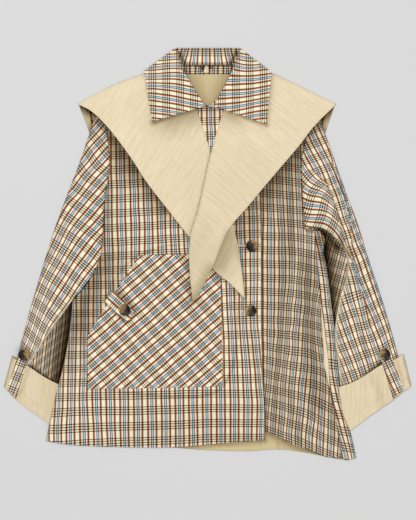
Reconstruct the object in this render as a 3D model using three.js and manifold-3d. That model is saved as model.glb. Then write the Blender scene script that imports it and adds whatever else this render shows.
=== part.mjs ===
// Cropped check trench coat with a crossed scarf cape, laid flat on its back.
// Units are millimetres. X runs to the viewer's right, Y towards the collar, Z up from the surface.
// Left and right in names are the wearer's: the wearer's right lies at negative X.
import * as THREE from 'three';
import { mergeVertices } from 'three/addons/utils/BufferGeometryUtils.js';
import Module from 'manifold-3d';

const wasm = await Module();
wasm.setup();

// Cloth and seams
const CLOTH = 1.6;
const LINING = 1.0;
const CAPE = 1.4;
const CUFF = 1.3;
const TRIM = 1.2;
const GAP = 0.3;
const SEAM = 0.36;
const CORNER = 0.5;
const ON_EDGE = 1.5;
const WALL_INSET = CLOTH + 2 * GAP;
const FOLD_INSET = CLOTH + 0.8;

// Laying grid: every panel bends along the same cells, so stacked panels stay clear of each other
const CELL = 32;
const GRID_HALF = 12;
const REACH = 1.42 * CELL;
const RAMP = 30;
const CUT_DEPTH = 60;

// Air under a panel, and the breadth of its rise from the edge
const BODY_AIR = 1.6;
const SLEEVE_AIR = 0.8;
const AIR_RISE = 70;

// Buttons
const BUTTON_RADIUS = 9.8;
const BUTTON_BEVEL = 0.8;
const BUTTON_RIM = 2.2;
const BUTTON_DOME = 1.5;
const BUTTON_SIDES = 16;

// Edges of the cut pieces as laid: each row is a station, x across and y along the coat
const stations = (...rows) => rows.map(([x, y]) => ({ x, y }));

const edges = {
  hem_right: stations([-275, -319], [-224, -326], [-150, -329], [-91, -330], [-48, -329], [22, -323], [97, -317]),
  front_edge_right: stations([97, -317], [90, -131], [89, 48], [82, 215]),
  neck_right: stations([82, 215], [26, 243], [0, 249], [-22, 270], [-46, 304]),
  shoulder_right: stations([-46, 304], [-60, 308], [-109, 294], [-184, 254]),
  armhole_right: stations([-184, 254], [-173, 209], [-167, 167], [-167, 141], [-175, 90], [-178, 31], [-182, -8]),
  underarm_right: stations([-182, -8], [-201, -44], [-230, -80]),
  side_right: stations([-230, -80], [-235, -131], [-244, -183], [-254, -222], [-264, -261], [-275, -319]),

  hem_left: stations([-80, -300], [101, -305], [121, -313], [149, -327], [169, -333], [202, -346], [228, -347]),
  side_seam_left: stations([228, -347], [215, -273], [207, -231], [205, -190], [198, -131], [191, -77], [185, -8],
    [181, 36]),
  armhole_left: stations([164, 41], [160, 96], [158, 153], [161, 172], [166, 194], [177, 254]),
  shoulder_left: stations([177, 254], [109, 294], [60, 308], [46, 304]),
  neck_left: stations([46, 304], [22, 270], [0, 249], [-26, 243], [-78, 215]),
  side_left: stations([252, -348], [241, -300], [230, -273], [224, -234], [220, -190], [215, -129], [210, -90],
    [205, -49], [200, -17], [196, 4], [198, 24], [190, 38]),
  hem_side_left: stations([228, -347], [232, -351], [252, -348]),
  hem_back: stations([-275, -319], [-150, -331], [-60, -332], [-20, -335], [64, -338], [121, -335], [163, -340],
    [232, -352], [252, -348]),
  neck_back: stations([60, 308], [50, 320], [-50, 320], [-60, 308]),

  sleeve_outer_right: stations([-184, 254], [-192, 230], [-221, 146], [-240, 97], [-260, 42], [-276, -8],
    [-312, -131], [-331, -205]),
  sleeve_ridge_right: stations([-308, -216], [-303, -192], [-283, -157], [-265, -131], [-230, -80]),
  sleeve_end_right: stations([-342, -229], [-324.6, -247.2], [-268.8, -288.2], [-241, -309]),
  sleeve_hidden_right: stations([-241, -309], [-227.5, -236], [-215, -160], [-198, -80], [-176, -8], [-171, 31],
    [-168, 90], [-160, 141], [-160, 167], [-166, 209], [-178, 250]),
  cuff_top_right: stations([-333, -174], [-321, -181], [-302, -194], [-270, -215], [-224, -235]),
  cuff_mouth_right: stations([-238, -314], [-270, -290], [-326, -249], [-347, -227]),

  sleeve_outer_left: stations([330, -203], [315, -144], [296, -80], [275, -17], [252, 56], [233, 107], [210, 172],
    [190, 226], [177, 254]),
  sleeve_ridge_left: stations([164, 41], [190, 43], [205, 35], [219, 22], [231, 6], [236, -12], [235, -39],
    [225, -74], [216, -129], [221, -190], [226, -246]),
  sleeve_end_left: stations([233, -304.5], [242, -298.6], [279, -271], [314, -246.6], [331, -232.6], [342, -226]),
  sleeve_hidden_left: stations([172, 250], [160, 194], [155, 172], [152, 153], [154, 96], [157, 68], [162, 36],
    [182, 0], [192, -60], [203, -150], [214.5, -232], [233, -304.5]),
  cuff_top_left: stations([211, -230], [241, -221], [264, -209], [293, -190], [312, -182], [333, -172]),
  cuff_mouth_left: stations([346, -226], [332, -235], [315, -249], [280, -273], [242, -301], [230, -309]),

  cape_ridge_right: stations([-66, 312], [-109, 304], [-166, 283], [-222, 253]),
  cape_outer_right: stations([-222, 253], [-200, 242], [-168, 211], [-129, 159], [-106, 123], [-70, 76], [-30, 25],
    [7, -26], [38, -52], [62, -77]),
  cape_inner_right: stations([62, -77], [57, -29], [49, 21], [24, 107], [5, 168], [-20, 244], [-40, 275], [-52, 302]),
  cape_ridge_left: stations([218, 253], [163, 280], [109, 305], [66, 312]),
  cape_inner_left: stations([52, 302], [42, 275], [26, 240], [6, 172], [-15, 78], [-30, 26], [-31, -29], [-26, -82]),
  cape_outer_left: stations([-26, -82], [-15, -68], [6, -28], [33, 37], [67, 78], [106, 125], [156, 184], [179, 214],
    [218, 253]),
  cape_back_side_right: stations([-219, 251], [-199, 197], [-150, 60], [-139, 34]),
  cape_back_hem: stations([-139, 34], [-90, 22], [0, 15], [90, 22], [139, 34]),
  cape_back_side_left: stations([139, 34], [150, 60], [198, 200], [215, 251]),
  cape_back_ridge: stations([215, 251], [163, 277], [109, 302], [60, 309], [-60, 309], [-109, 301], [-166, 280],
    [-219, 251]),

  collar_wrap: stations([108, 307], [55, 348], [-56, 348], [-108, 309]),
  collar_leaf_right: stations([-108, 309], [-94, 222], [-5, 248], [-39, 304], [-44, 318]),
  collar_leaf_left: stations([44, 318], [39, 304], [10, 248], [99, 218], [108, 307]),
  collar_back: stations([-54, 345.5], [-105, 308], [-98, 262], [0, 250], [98, 262], [105, 306], [53, 345.5]),
  collar_stand: stations([-38, 303], [38, 303], [43, 318], [-43, 318]),
  hanger_loop: stations([-8, 305], [3, 305], [3, 317], [-8, 317]),
  patch_pocket: stations([-204, -231], [25, -226], [21, -1], [-117, -4], [-204, -139]),
  pocket_tab: stations([-176, -81], [-140, -116], [-131, -113], [-125, -99], [-162, -62]),
  facing_left: stations([190.5, -79], [195, -131], [198, -190], [206, -231], [204.2, -190], [197.3, -131]),
  strap_right: stations([-341, -231], [-326, -247], [-301, -170], [-310, -160], [-320, -168]),
  strap_left: stations([314, -247], [331, -233], [309, -166], [298, -159], [289, -168]),
};

// The largest folds: soft ridges along a line of stations, with the breadth of each flank and the height
const folds = {
  sleeve_top_right: [
    { line: stations([-190, -25], [-240, -95], [-295, -180]), breadth: 60, height: 2.6 },
  ],
  sleeve_top_left: [
    { line: stations([180, 50], [225, 30], [240, -30], [222, -110]), breadth: 60, height: 2.6 },
  ],
  front_left: [
    { line: stations([150, 60], [165, -120], [172, -320]), breadth: 50, height: 1.6 },
  ],
  front_right: [
    { line: stations([-150, 150], [-165, 40], [-140, -20]), breadth: 50, height: 1.4 },
    { line: stations([-215, -235], [-205, -325]), breadth: 45, height: 1.2 },
  ],
};

const buttons = [
  { name: 'button_front_upper', x: 74, y: 12, on: 'front_right' },
  { name: 'button_front_lower', x: 72, y: -98, on: 'front_right' },
  { name: 'button_pocket', x: -141, y: -96, on: 'pocket_tab' },
  { name: 'button_sleeve_right', x: -311, y: -172, on: 'strap_right' },
  { name: 'button_sleeve_left', x: 299, y: -172, on: 'strap_left' },
];

const materials = {
  check: new THREE.MeshStandardMaterial({ color: 0xc9ad8f, roughness: 0.9, metalness: 0 }),
  beige: new THREE.MeshStandardMaterial({ color: 0xe4d3a8, roughness: 0.85, metalness: 0 }),
  lining: new THREE.MeshStandardMaterial({ color: 0xcbb98c, roughness: 0.8, metalness: 0 }),
  horn: new THREE.MeshStandardMaterial({ color: 0x3a2a18, roughness: 0.35, metalness: 0 }),
};

// Joins edges end to end and drops the doubled corner between two edges
function join(...parts) {
  const points = [];
  for (const part of parts) {
    for (const { x, y } of part) {
      const last = points.at(-1);
      if (!last || Math.hypot(last.x - x, last.y - y) > CORNER) points.push(new THREE.Vector2(x, y));
    }
  }
  if (points[0].distanceTo(points.at(-1)) < CORNER) points.pop();
  return THREE.ShapeUtils.isClockWise(points) ? points.reverse() : points;
}

const turned = (edge) => [...edge].reverse();

// Moves an outline inwards by a distance, corner by corner
function inset(outline, distance) {
  return outline.map((point, i) => {
    const before = outline.at(i - 1);
    const after = outline[(i + 1) % outline.length];
    const inwardOf = (a, b) => new THREE.Vector2(a.y - b.y, b.x - a.x).normalize();
    const n1 = inwardOf(before, point);
    const n2 = inwardOf(point, after);
    const reach = distance / Math.max(0.4, 1 + n1.dot(n2));
    return point.clone().addScaledVector(n1, reach).addScaledVector(n2, reach);
  });
}

function segmentDistance(x, y, a, b) {
  const along = (x - a.x) * (b.x - a.x) + (y - a.y) * (b.y - a.y);
  const t = THREE.MathUtils.clamp(along / ((b.x - a.x) ** 2 + (b.y - a.y) ** 2), 0, 1);
  return Math.hypot(x - a.x - t * (b.x - a.x), y - a.y - t * (b.y - a.y));
}

// Depth of a point inside an outline, negative outside it
function depthInside(outline, x, y) {
  let nearest = Infinity;
  let inside = false;
  outline.forEach((a, i) => {
    const b = outline[(i + 1) % outline.length];
    nearest = Math.min(nearest, segmentDistance(x, y, a, b));
    const crosses = (a.y > y) !== (b.y > y);
    if (crosses && x < a.x + ((y - a.y) / (b.y - a.y)) * (b.x - a.x)) inside = !inside;
  });
  return inside ? nearest : -nearest;
}

// Height that the largest folds add to a panel at a place
function foldHeight(name, x, y) {
  let height = 0;
  for (const fold of folds[name] ?? []) {
    const { line } = fold;
    const gaps = line.slice(1).map((b, i) => segmentDistance(x, y, line[i], b));
    height = Math.max(height, fold.height * (1 - THREE.MathUtils.smoothstep(Math.min(...gaps), 0, fold.breadth)));
  }
  return height;
}

// The pile of panels from the surface up. A panel lies on the panels named in its row.
const pile = new Map();
const side = 2 * GRID_HALF + 1;
const nodeX = (i) => (i - GRID_HALF) * CELL;

function lay(name, { outline, on = [], thick = CLOTH, air = 0, fold = null }) {
  const bottom = new Float64Array(side * side);
  const top = new Float64Array(side * side);
  for (let j = 0; j < side; j += 1) {
    for (let i = 0; i < side; i += 1) {
      const x = nodeX(i);
      const y = nodeX(j);
      let base = 0;
      for (const under of on.map((key) => pile.get(key))) {
        const outside = Math.max(0, -depthInside(under.outline, x, y));
        const hold = 1 - THREE.MathUtils.smoothstep(outside, REACH, REACH + RAMP);
        base = Math.max(base, (under.top[j * side + i] + GAP) * hold);
      }
      const lift = air * THREE.MathUtils.smoothstep(depthInside(outline, x, y), 0, AIR_RISE);
      bottom[j * side + i] = base + lift + foldHeight(name, x, y);
      top[j * side + i] = bottom[j * side + i] + thick;
    }
  }
  pile.set(name, { outline, bottom, top, fold });
}

// Height of a laid surface at any place, on the flat triangles of its cells
function heightAt(levels, x, y) {
  const u = x / CELL + GRID_HALF;
  const v = y / CELL + GRID_HALF;
  const i = Math.floor(u);
  const j = Math.floor(v);
  const [fu, fv] = [u - i, v - j];
  const at = (di, dj) => levels[(j + dj) * side + i + di];
  if (fu + fv <= 1) return at(0, 0) + fu * (at(1, 0) - at(0, 0)) + fv * (at(0, 1) - at(0, 0));
  return at(1, 1) + (1 - fu) * (at(0, 1) - at(1, 1)) + (1 - fv) * (at(1, 0) - at(1, 1));
}

function solidOf(geometry) {
  const merged = geometry.clone();
  merged.deleteAttribute('normal');
  merged.deleteAttribute('uv');
  const welded = mergeVertices(merged, 1e-4);
  return new wasm.Manifold(new wasm.Mesh({
    numProp: 3,
    vertProperties: Float32Array.from(welded.attributes.position.array),
    triVerts: Uint32Array.from(welded.index.array),
  }));
}

function geometryOf(solid) {
  const mesh = solid.getMesh();
  const geometry = new THREE.BufferGeometry();
  geometry.setAttribute('position', new THREE.BufferAttribute(Float32Array.from(mesh.vertProperties), 3));
  geometry.setIndex(new THREE.BufferAttribute(Uint32Array.from(mesh.triVerts), 1));
  const flat = geometry.toNonIndexed();
  flat.computeVertexNormals();
  return flat;
}

// The closed layer between two levels of the laying grid, over the cells that an outline touches
function slab(outline, low, high) {
  const box = new THREE.Box2().setFromPoints(outline);
  const first = (value) => Math.floor(value / CELL) + GRID_HALF;
  const [i0, j0] = [first(box.min.x), first(box.min.y)];
  const [ni, nj] = [first(box.max.x) + 1 - i0, first(box.max.y) + 1 - j0];
  const points = [];
  for (const levels of [low, high]) {
    for (let j = 0; j <= nj; j += 1) {
      for (let i = 0; i <= ni; i += 1) {
        points.push(nodeX(i0 + i), nodeX(j0 + j), levels[(j0 + j) * side + i0 + i]);
      }
    }
  }
  const count = (ni + 1) * (nj + 1);
  const id = (i, j, upper) => j * (ni + 1) + i + upper * count;
  const faces = [];
  const quad = (a, b, c, d) => faces.push(a, b, d, b, c, d);
  for (let j = 0; j < nj; j += 1) {
    for (let i = 0; i < ni; i += 1) {
      quad(id(i, j, 1), id(i + 1, j, 1), id(i + 1, j + 1, 1), id(i, j + 1, 1));
      faces.push(id(i, j, 0), id(i, j + 1, 0), id(i + 1, j, 0));
      faces.push(id(i + 1, j, 0), id(i, j + 1, 0), id(i + 1, j + 1, 0));
    }
  }
  for (let i = 0; i < ni; i += 1) {
    quad(id(i, 0, 0), id(i + 1, 0, 0), id(i + 1, 0, 1), id(i, 0, 1));
    quad(id(i + 1, nj, 0), id(i, nj, 0), id(i, nj, 1), id(i + 1, nj, 1));
  }
  for (let j = 0; j < nj; j += 1) {
    quad(id(0, j + 1, 0), id(0, j, 0), id(0, j, 1), id(0, j + 1, 1));
    quad(id(ni, j, 0), id(ni, j + 1, 0), id(ni, j + 1, 1), id(ni, j, 1));
  }
  const geometry = new THREE.BufferGeometry();
  geometry.setAttribute('position', new THREE.Float32BufferAttribute(points, 3));
  geometry.setIndex(faces);
  return solidOf(geometry);
}

function cutter(outline) {
  const prism = new THREE.ExtrudeGeometry(new THREE.Shape(outline), { depth: CUT_DEPTH, bevelEnabled: false });
  return solidOf(prism.translate(0, 0, -1));
}

// The strip of cloth that turns down at a folded edge, cut as a band along that edge
function foldStrip(outline, edge, thick) {
  const inner = inset(outline, thick);
  const nearEdge = (point) => edge.some((p) => Math.hypot(p.x - point.x, p.y - point.y) < ON_EDGE);
  const kept = [...outline.keys()].filter((i) => nearEdge(outline[i]));
  const start = kept.find((i) => !kept.includes((i - 1 + outline.length) % outline.length));
  const run = kept.map((_, n) => (start + n) % outline.length);
  return [...run.map((i) => outline[i]), ...run.reverse().map((i) => inner[i])];
}

// A panel's solid: its layer cut to its outline, with its folded edges turned down to the panel below
function panelSolid(name) {
  const { outline, bottom, top, fold } = pile.get(name);
  let solid = slab(outline, bottom, top).intersect(cutter(outline));
  for (const { edge, to } of fold ?? []) {
    const foot = pile.get(to).bottom;
    const strip = foldStrip(outline, edge, CLOTH);
    solid = solid.add(slab(outline, foot, top).intersect(cutter(strip)));
  }
  return solid;
}

// Outlines of the cut pieces, half a seam gap inside their shared edges
const cut = (...parts) => inset(join(...parts), SEAM / 2);
const moved = (edge, distance) => edge.map(({ x, y }) => ({ x: x + distance, y }));
const body = join(edges.hem_back, edges.side_left, edges.armhole_left, edges.shoulder_left.slice(0, -1),
  edges.neck_back, edges.shoulder_right.slice(1), edges.armhole_right, edges.underarm_right, edges.side_right);

// The pile, from the surface up
lay('collar_back', { outline: join(edges.collar_back) });
lay('cape_back', {
  outline: cut(edges.cape_back_side_right, edges.cape_back_hem, edges.cape_back_side_left, edges.cape_back_ridge),
  on: ['collar_back'],
  thick: CAPE,
});
lay('cuff_right_under', { outline: join(edges.cuff_top_right, edges.cuff_mouth_right), thick: CUFF });
lay('cuff_left_under', { outline: join(edges.cuff_top_left, edges.cuff_mouth_left), thick: CUFF });
lay('sleeve_under_right', {
  outline: join(moved(edges.sleeve_outer_right, FOLD_INSET), edges.sleeve_end_right, edges.sleeve_hidden_right),
  on: ['cape_back', 'cuff_right_under'],
});
lay('sleeve_under_left', {
  outline: join(edges.sleeve_hidden_left, edges.sleeve_end_left, moved(edges.sleeve_outer_left, -FOLD_INSET)),
  on: ['cape_back', 'cuff_left_under'],
});
lay('sleeve_top_right', {
  outline: cut(edges.sleeve_outer_right, edges.sleeve_ridge_right, turned(edges.underarm_right),
    turned(edges.armhole_right)),
  on: ['sleeve_under_right', 'cape_back'],
  air: SLEEVE_AIR,
  fold: [{ edge: edges.sleeve_outer_right, to: 'sleeve_under_right' }],
});
lay('sleeve_top_left', {
  outline: cut(edges.sleeve_outer_left, turned(edges.armhole_left), edges.sleeve_ridge_left),
  on: ['sleeve_under_left', 'cape_back'],
  air: SLEEVE_AIR,
  fold: [{ edge: edges.sleeve_outer_left, to: 'sleeve_under_left' }],
});
lay('cuff_right_over', {
  outline: pile.get('cuff_right_under').outline,
  on: ['sleeve_top_right', 'sleeve_under_right'],
  thick: CUFF,
  fold: [
    { edge: [edges.cuff_top_right[0], edges.cuff_mouth_right.at(-1)], to: 'cuff_right_under' },
    { edge: [edges.cuff_top_right.at(-1), edges.cuff_mouth_right[0]], to: 'cuff_right_under' },
  ],
});
lay('cuff_left_over', {
  outline: pile.get('cuff_left_under').outline,
  on: ['sleeve_top_left', 'sleeve_under_left'],
  thick: CUFF,
  fold: [
    { edge: [edges.cuff_top_left[0], edges.cuff_mouth_left.at(-1)], to: 'cuff_left_under' },
    { edge: [edges.cuff_top_left.at(-1), edges.cuff_mouth_left[0]], to: 'cuff_left_under' },
  ],
});
lay('back', {
  outline: inset(body, WALL_INSET),
  on: ['cape_back', 'collar_back', 'sleeve_under_right', 'sleeve_under_left', 'cuff_right_over', 'cuff_left_over'],
});
lay('back_lining', { outline: inset(body, WALL_INSET), on: ['back'], thick: LINING });
lay('front_left', {
  outline: cut(edges.hem_left, edges.side_seam_left, edges.armhole_left, edges.shoulder_left, edges.neck_left),
  on: ['back_lining'],
  air: BODY_AIR,
});
lay('side_panel_left', {
  outline: cut(edges.hem_side_left, edges.side_left, turned(edges.side_seam_left)),
  on: ['back_lining'],
  air: BODY_AIR,
  fold: [{ edge: edges.side_left, to: 'back' }],
});
lay('front_right', {
  outline: cut(edges.hem_right, edges.front_edge_right, edges.neck_right, edges.shoulder_right,
    edges.armhole_right, edges.underarm_right, edges.side_right),
  on: ['back_lining', 'front_left'],
  air: BODY_AIR,
  fold: [{ edge: edges.side_right, to: 'back' }],
});
lay('side_pocket_facing_left', {
  outline: join(edges.facing_left),
  on: ['front_left', 'side_panel_left'],
  thick: LINING,
});
lay('patch_pocket', { outline: join(edges.patch_pocket), on: ['front_right'], thick: TRIM });
lay('pocket_tab', { outline: join(edges.pocket_tab), on: ['patch_pocket', 'front_right'], thick: TRIM });
lay('cape_right', {
  outline: cut(edges.cape_ridge_right, edges.cape_outer_right, edges.cape_inner_right),
  on: ['front_right', 'front_left', 'sleeve_top_right', 'patch_pocket', 'back_lining', 'cape_back'],
  thick: CAPE,
  fold: [{ edge: edges.cape_ridge_right, to: 'cape_back' }],
});
lay('cape_left', {
  outline: cut(edges.cape_ridge_left, edges.cape_inner_left, edges.cape_outer_left),
  on: ['cape_right', 'front_right', 'front_left', 'sleeve_top_left', 'patch_pocket', 'back_lining', 'cape_back'],
  thick: CAPE,
  fold: [{ edge: edges.cape_ridge_left, to: 'cape_back' }],
});
lay('collar_stand', { outline: cut(edges.collar_stand), on: ['back_lining', 'back', 'cape_back'], thick: TRIM });
lay('hanger_loop', { outline: join(edges.hanger_loop), on: ['collar_stand', 'back_lining'], thick: TRIM });
lay('collar', {
  outline: cut(edges.collar_wrap, edges.collar_leaf_right, edges.collar_leaf_left),
  on: ['cape_right', 'cape_left', 'front_right', 'front_left', 'back_lining', 'back', 'cape_back', 'collar_back'],
  fold: [{ edge: edges.collar_wrap, to: 'collar_back' }],
});
for (const hand of ['right', 'left']) {
  lay(`strap_${hand}`, {
    outline: join(edges[`strap_${hand}`]),
    on: [`cuff_${hand}_over`, `sleeve_top_${hand}`, `sleeve_under_${hand}`],
    thick: TRIM,
  });
}

// A cuff is one flat ring: its under layer, its upper layer and the two folds between them
function cuff(hand) {
  return panelSolid(`cuff_${hand}_under`).add(panelSolid(`cuff_${hand}_over`));
}

// A domed horn button, seated on the highest point of the cloth under it
function button({ x, y, on }) {
  const levels = pile.get(on).top;
  let seat = 0;
  for (let turn = 0; turn < BUTTON_SIDES; turn += 1) {
    const angle = (turn / BUTTON_SIDES) * 2 * Math.PI;
    seat = Math.max(seat, heightAt(levels, x + BUTTON_RADIUS * Math.cos(angle), y + BUTTON_RADIUS * Math.sin(angle)));
  }
  seat = Math.max(seat, heightAt(levels, x, y));
  const profile = [
    new THREE.Vector2(0, 0),
    new THREE.Vector2(BUTTON_RADIUS - BUTTON_BEVEL, 0),
    new THREE.Vector2(BUTTON_RADIUS, BUTTON_BEVEL),
    new THREE.Vector2(BUTTON_RADIUS, BUTTON_RIM - BUTTON_BEVEL / 2),
    new THREE.Vector2(BUTTON_RADIUS - 2 * BUTTON_BEVEL, BUTTON_RIM + BUTTON_DOME * 0.4),
    new THREE.Vector2(BUTTON_RADIUS * 0.5, BUTTON_RIM + BUTTON_DOME * 0.9),
    new THREE.Vector2(0, BUTTON_RIM + BUTTON_DOME),
  ];
  const geometry = new THREE.LatheGeometry(profile, BUTTON_SIDES).rotateX(Math.PI / 2);
  return geometry.translate(x, y, seat + GAP);
}

// The coat
const coat = new THREE.Group();

function add(name, geometry, material) {
  const mesh = new THREE.Mesh(geometry, material);
  mesh.name = name;
  coat.add(mesh);
}

const cloths = [
  { names: ['back', 'front_right', 'front_left', 'side_panel_left', 'patch_pocket', 'pocket_tab', 'collar',
    'collar_back', 'collar_stand', 'sleeve_top_right', 'sleeve_top_left', 'sleeve_under_right',
    'sleeve_under_left', 'strap_right', 'strap_left'], material: materials.check },
  { names: ['cape_back', 'cape_right', 'cape_left', 'hanger_loop'], material: materials.beige },
  { names: ['back_lining', 'side_pocket_facing_left'], material: materials.lining },
];
for (const { names, material } of cloths) {
  for (const name of names) add(name, geometryOf(panelSolid(name)), material);
}
for (const hand of ['right', 'left']) add(`cuff_${hand}`, geometryOf(cuff(hand)), materials.beige);
for (const row of buttons) add(row.name, button(row), materials.horn);

// The origin is the middle of the coat's footprint, on the surface
const footprint = new THREE.Box3().setFromObject(coat).getCenter(new THREE.Vector3());
coat.position.set(-footprint.x, -footprint.y, 0);

export default coat;
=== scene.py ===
# %% [markdown]
# # A cropped check coat, laid flat
# The coat lies on its back on a pale floor and is seen from straight above. This lesson dresses a plain
# model of it in cloth: every panel becomes a thin shell that is laid on the panels under it, as a maker
# lays them on the table. Left and right in names are the wearer's, so the right sleeve lies at negative X.

# %% Load the plain model as a fixed frame
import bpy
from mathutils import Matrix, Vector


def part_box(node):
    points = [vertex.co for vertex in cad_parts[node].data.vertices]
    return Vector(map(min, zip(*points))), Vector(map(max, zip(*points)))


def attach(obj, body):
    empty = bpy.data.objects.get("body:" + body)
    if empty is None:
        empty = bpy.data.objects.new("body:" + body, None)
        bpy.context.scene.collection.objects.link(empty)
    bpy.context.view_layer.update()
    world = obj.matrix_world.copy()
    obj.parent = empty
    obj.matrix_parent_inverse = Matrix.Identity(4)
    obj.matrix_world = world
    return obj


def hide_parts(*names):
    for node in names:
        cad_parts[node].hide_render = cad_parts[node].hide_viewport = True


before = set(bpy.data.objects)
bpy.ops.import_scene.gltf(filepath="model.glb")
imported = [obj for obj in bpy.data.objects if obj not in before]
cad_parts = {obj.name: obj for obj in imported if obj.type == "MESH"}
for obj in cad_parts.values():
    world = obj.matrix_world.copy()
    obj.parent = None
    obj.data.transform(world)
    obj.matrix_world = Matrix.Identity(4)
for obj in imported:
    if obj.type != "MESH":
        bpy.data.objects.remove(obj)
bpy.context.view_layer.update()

# %% Libraries
import math

import bpy
import numpy as np
from mathutils import Vector
from mathutils.geometry import delaunay_2d_cdt

scene = bpy.context.scene

# %% [markdown]
# ## Sizes
# The tables are in millimetres, with the wearer's neck up, or in pixels of the photo where from_photo
# turns them into millimetres. The footprint's middle is the frame's origin, so one shift takes a table's
# numbers to the frame. CLOTH to FACING are thicknesses, and GAP is the air between two layers.

# %% Real sizes in millimetres
MM = 0.001
SHIFT = np.array([0.5, 1.494])
CLOTH, CAPE, TRIM, LINING, FACING = 1.3, 1.3, 1.0, 0.8, 0.6
GAP = 0.35
WARP_REPEAT, WEFT_REPEAT = 23.2, 25.4
PHOTO_SCALE = 1.7
PHOTO_ZERO = np.array([208.0, 253.0])
PHOTO_HEIGHT = 520
HANDS = ("right", "left")


def from_photo(rows):
    """Places read off the photo, in its pixels, as millimetres on the table."""
    middles = np.array(rows, dtype=float) + 0.5
    return (middles - PHOTO_ZERO) * [PHOTO_SCALE, -PHOTO_SCALE]


print("one photo pixel is", PHOTO_SCALE, "mm")

# %% [markdown]
# ## Edges
# A maker draws the edges first. Each edge is a short row of stations, and a smooth curve runs through
# them. Two pieces that are sewn together share an edge.

# %% Edge stations
edges = {
    "hem_right": [(-275, -319), (-224, -326), (-150, -329), (-91, -330), (-48, -329), (22, -323), (97, -317)],
    "front_edge_right": [(97, -317), (90, -131), (89, 48), (82, 215)],
    "neck_right": [(82, 215), (26, 243), (0, 249), (-22, 270), (-46, 304)],
    "shoulder_right": [(-46, 304), (-60, 308), (-109, 294), (-184, 254)],
    "armhole_right": [(-184, 254), (-173, 209), (-167, 167), (-167, 141), (-175, 90), (-178, 31), (-182, -8)],
    "underarm_right": [(-182, -8), (-201, -44), (-230, -80)],
    "side_right": [(-230, -80), (-235, -131), (-244, -183), (-254, -222), (-264, -261), (-275, -319)],
    "hem_left": [(-80, -300), (101, -305), (121, -313), (149, -327), (169, -333), (202, -346), (228, -347)],
    "side_seam_left": [(228, -347), (215, -273), (207, -231), (205, -190), (198, -131), (191, -77), (185, -8),
                       (181, 36)],
    "armhole_left": [(164, 41), (160, 96), (158, 153), (161, 172), (166, 194), (177, 254)],
    "shoulder_left": [(177, 254), (109, 294), (60, 308), (46, 304)],
    "neck_left": [(46, 304), (22, 270), (0, 249), (-26, 243), (-78, 215)],
    "side_left": [(252, -348), (241, -300), (230, -273), (224, -234), (220, -190), (215, -129), (210, -90),
                  (205, -49), (200, -17), (196, 4), (198, 24), (190, 38)],
    "hem_side_left": [(228, -347), (232, -351), (252, -348)],
    "hem_back": [(-275, -319), (-150, -331), (-60, -332), (-20, -335), (64, -338), (121, -335), (163, -340),
                 (232, -352), (252, -348)],
    "neck_back": [(60, 308), (50, 320), (-50, 320), (-60, 308)],
    "sleeve_outer_right": [(-184, 254), (-192, 230), (-221, 146), (-240, 97), (-260, 42), (-276, -8),
                           (-312, -131), (-331, -205)],
    "sleeve_ridge_right": [(-308, -216), (-303, -192), (-283, -157), (-265, -131), (-230, -80)],
    "sleeve_end_right": [(-342, -229), (-324.6, -247.2), (-268.8, -288.2), (-241, -309)],
    "sleeve_hidden_right": [(-241, -309), (-227.5, -236), (-215, -160), (-198, -80), (-176, -8), (-171, 31),
                            (-168, 90), (-160, 141), (-160, 167), (-166, 209), (-178, 250)],
    "cuff_top_right": [(-333, -174), (-321, -181), (-302, -194), (-270, -215), (-224, -235)],
    "cuff_mouth_right": [(-238, -314), (-270, -290), (-326, -249), (-347, -227)],
    "sleeve_outer_left": [(330, -203), (315, -144), (296, -80), (275, -17), (252, 56), (233, 107), (210, 172),
                          (190, 226), (177, 254)],
    "sleeve_ridge_left": [(164, 41), (190, 43), (205, 35), (219, 22), (231, 6), (236, -12), (235, -39),
                          (225, -74), (216, -129), (221, -190), (226, -246)],
    "sleeve_end_left": [(233, -304.5), (242, -298.6), (279, -271), (314, -246.6), (331, -232.6), (342, -226)],
    "sleeve_hidden_left": [(172, 250), (160, 194), (155, 172), (152, 153), (154, 96), (157, 68), (162, 36),
                           (182, 0), (192, -60), (203, -150), (214.5, -232), (233, -304.5)],
    "cuff_top_left": [(211, -230), (241, -221), (264, -209), (293, -190), (312, -182), (333, -172)],
    "cuff_mouth_left": [(346, -226), (332, -235), (315, -249), (280, -273), (242, -301), (230, -309)],
    "cape_ridge_right": [(-66, 312), (-109, 304), (-166, 283), (-222, 253)],
    "cape_outer_right": [(-222, 253), (-200, 242), (-168, 211), (-129, 159), (-106, 123), (-70, 76), (-30, 25),
                         (7, -26), (38, -52), (62, -77)],
    "cape_inner_right": [(62, -77), (57, -29), (49, 21), (24, 107), (5, 168), (-20, 244), (-40, 275), (-52, 302)],
    "cape_ridge_left": [(218, 253), (163, 280), (109, 305), (66, 312)],
    "cape_inner_left": [(52, 302), (42, 275), (26, 240), (6, 172), (-15, 78), (-30, 26), (-31, -29), (-26, -82)],
    "cape_outer_left": [(-26, -82), (-15, -68), (6, -28), (33, 37), (67, 78), (106, 125), (156, 184), (179, 214),
                        (218, 253)],
    "cape_back_side_right": [(-219, 251), (-199, 197), (-150, 60), (-139, 34)],
    "cape_back_hem": [(-139, 34), (-90, 22), (0, 15), (90, 22), (139, 34)],
    "cape_back_side_left": [(139, 34), (150, 60), (198, 200), (215, 251)],
    "cape_back_ridge": [(215, 251), (163, 277), (109, 302), (60, 309), (-60, 309), (-109, 301), (-166, 280),
                        (-219, 251)],
}

# %% [markdown]
# A smooth curve through the stations gives soft cloth edges. Corner pieces such as the pocket and the
# collar keep their corners, so their outlines are straight runs between corners.

# %% Curves through stations
EDGE_STEP = 4.0
CURVE_STEPS = 12
JOIN = 0.6


def run_length(points):
    """How far along a line each of its points is."""
    return np.concatenate([[0.0], np.cumsum(np.linalg.norm(np.diff(points, axis=0), axis=1))])


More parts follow.
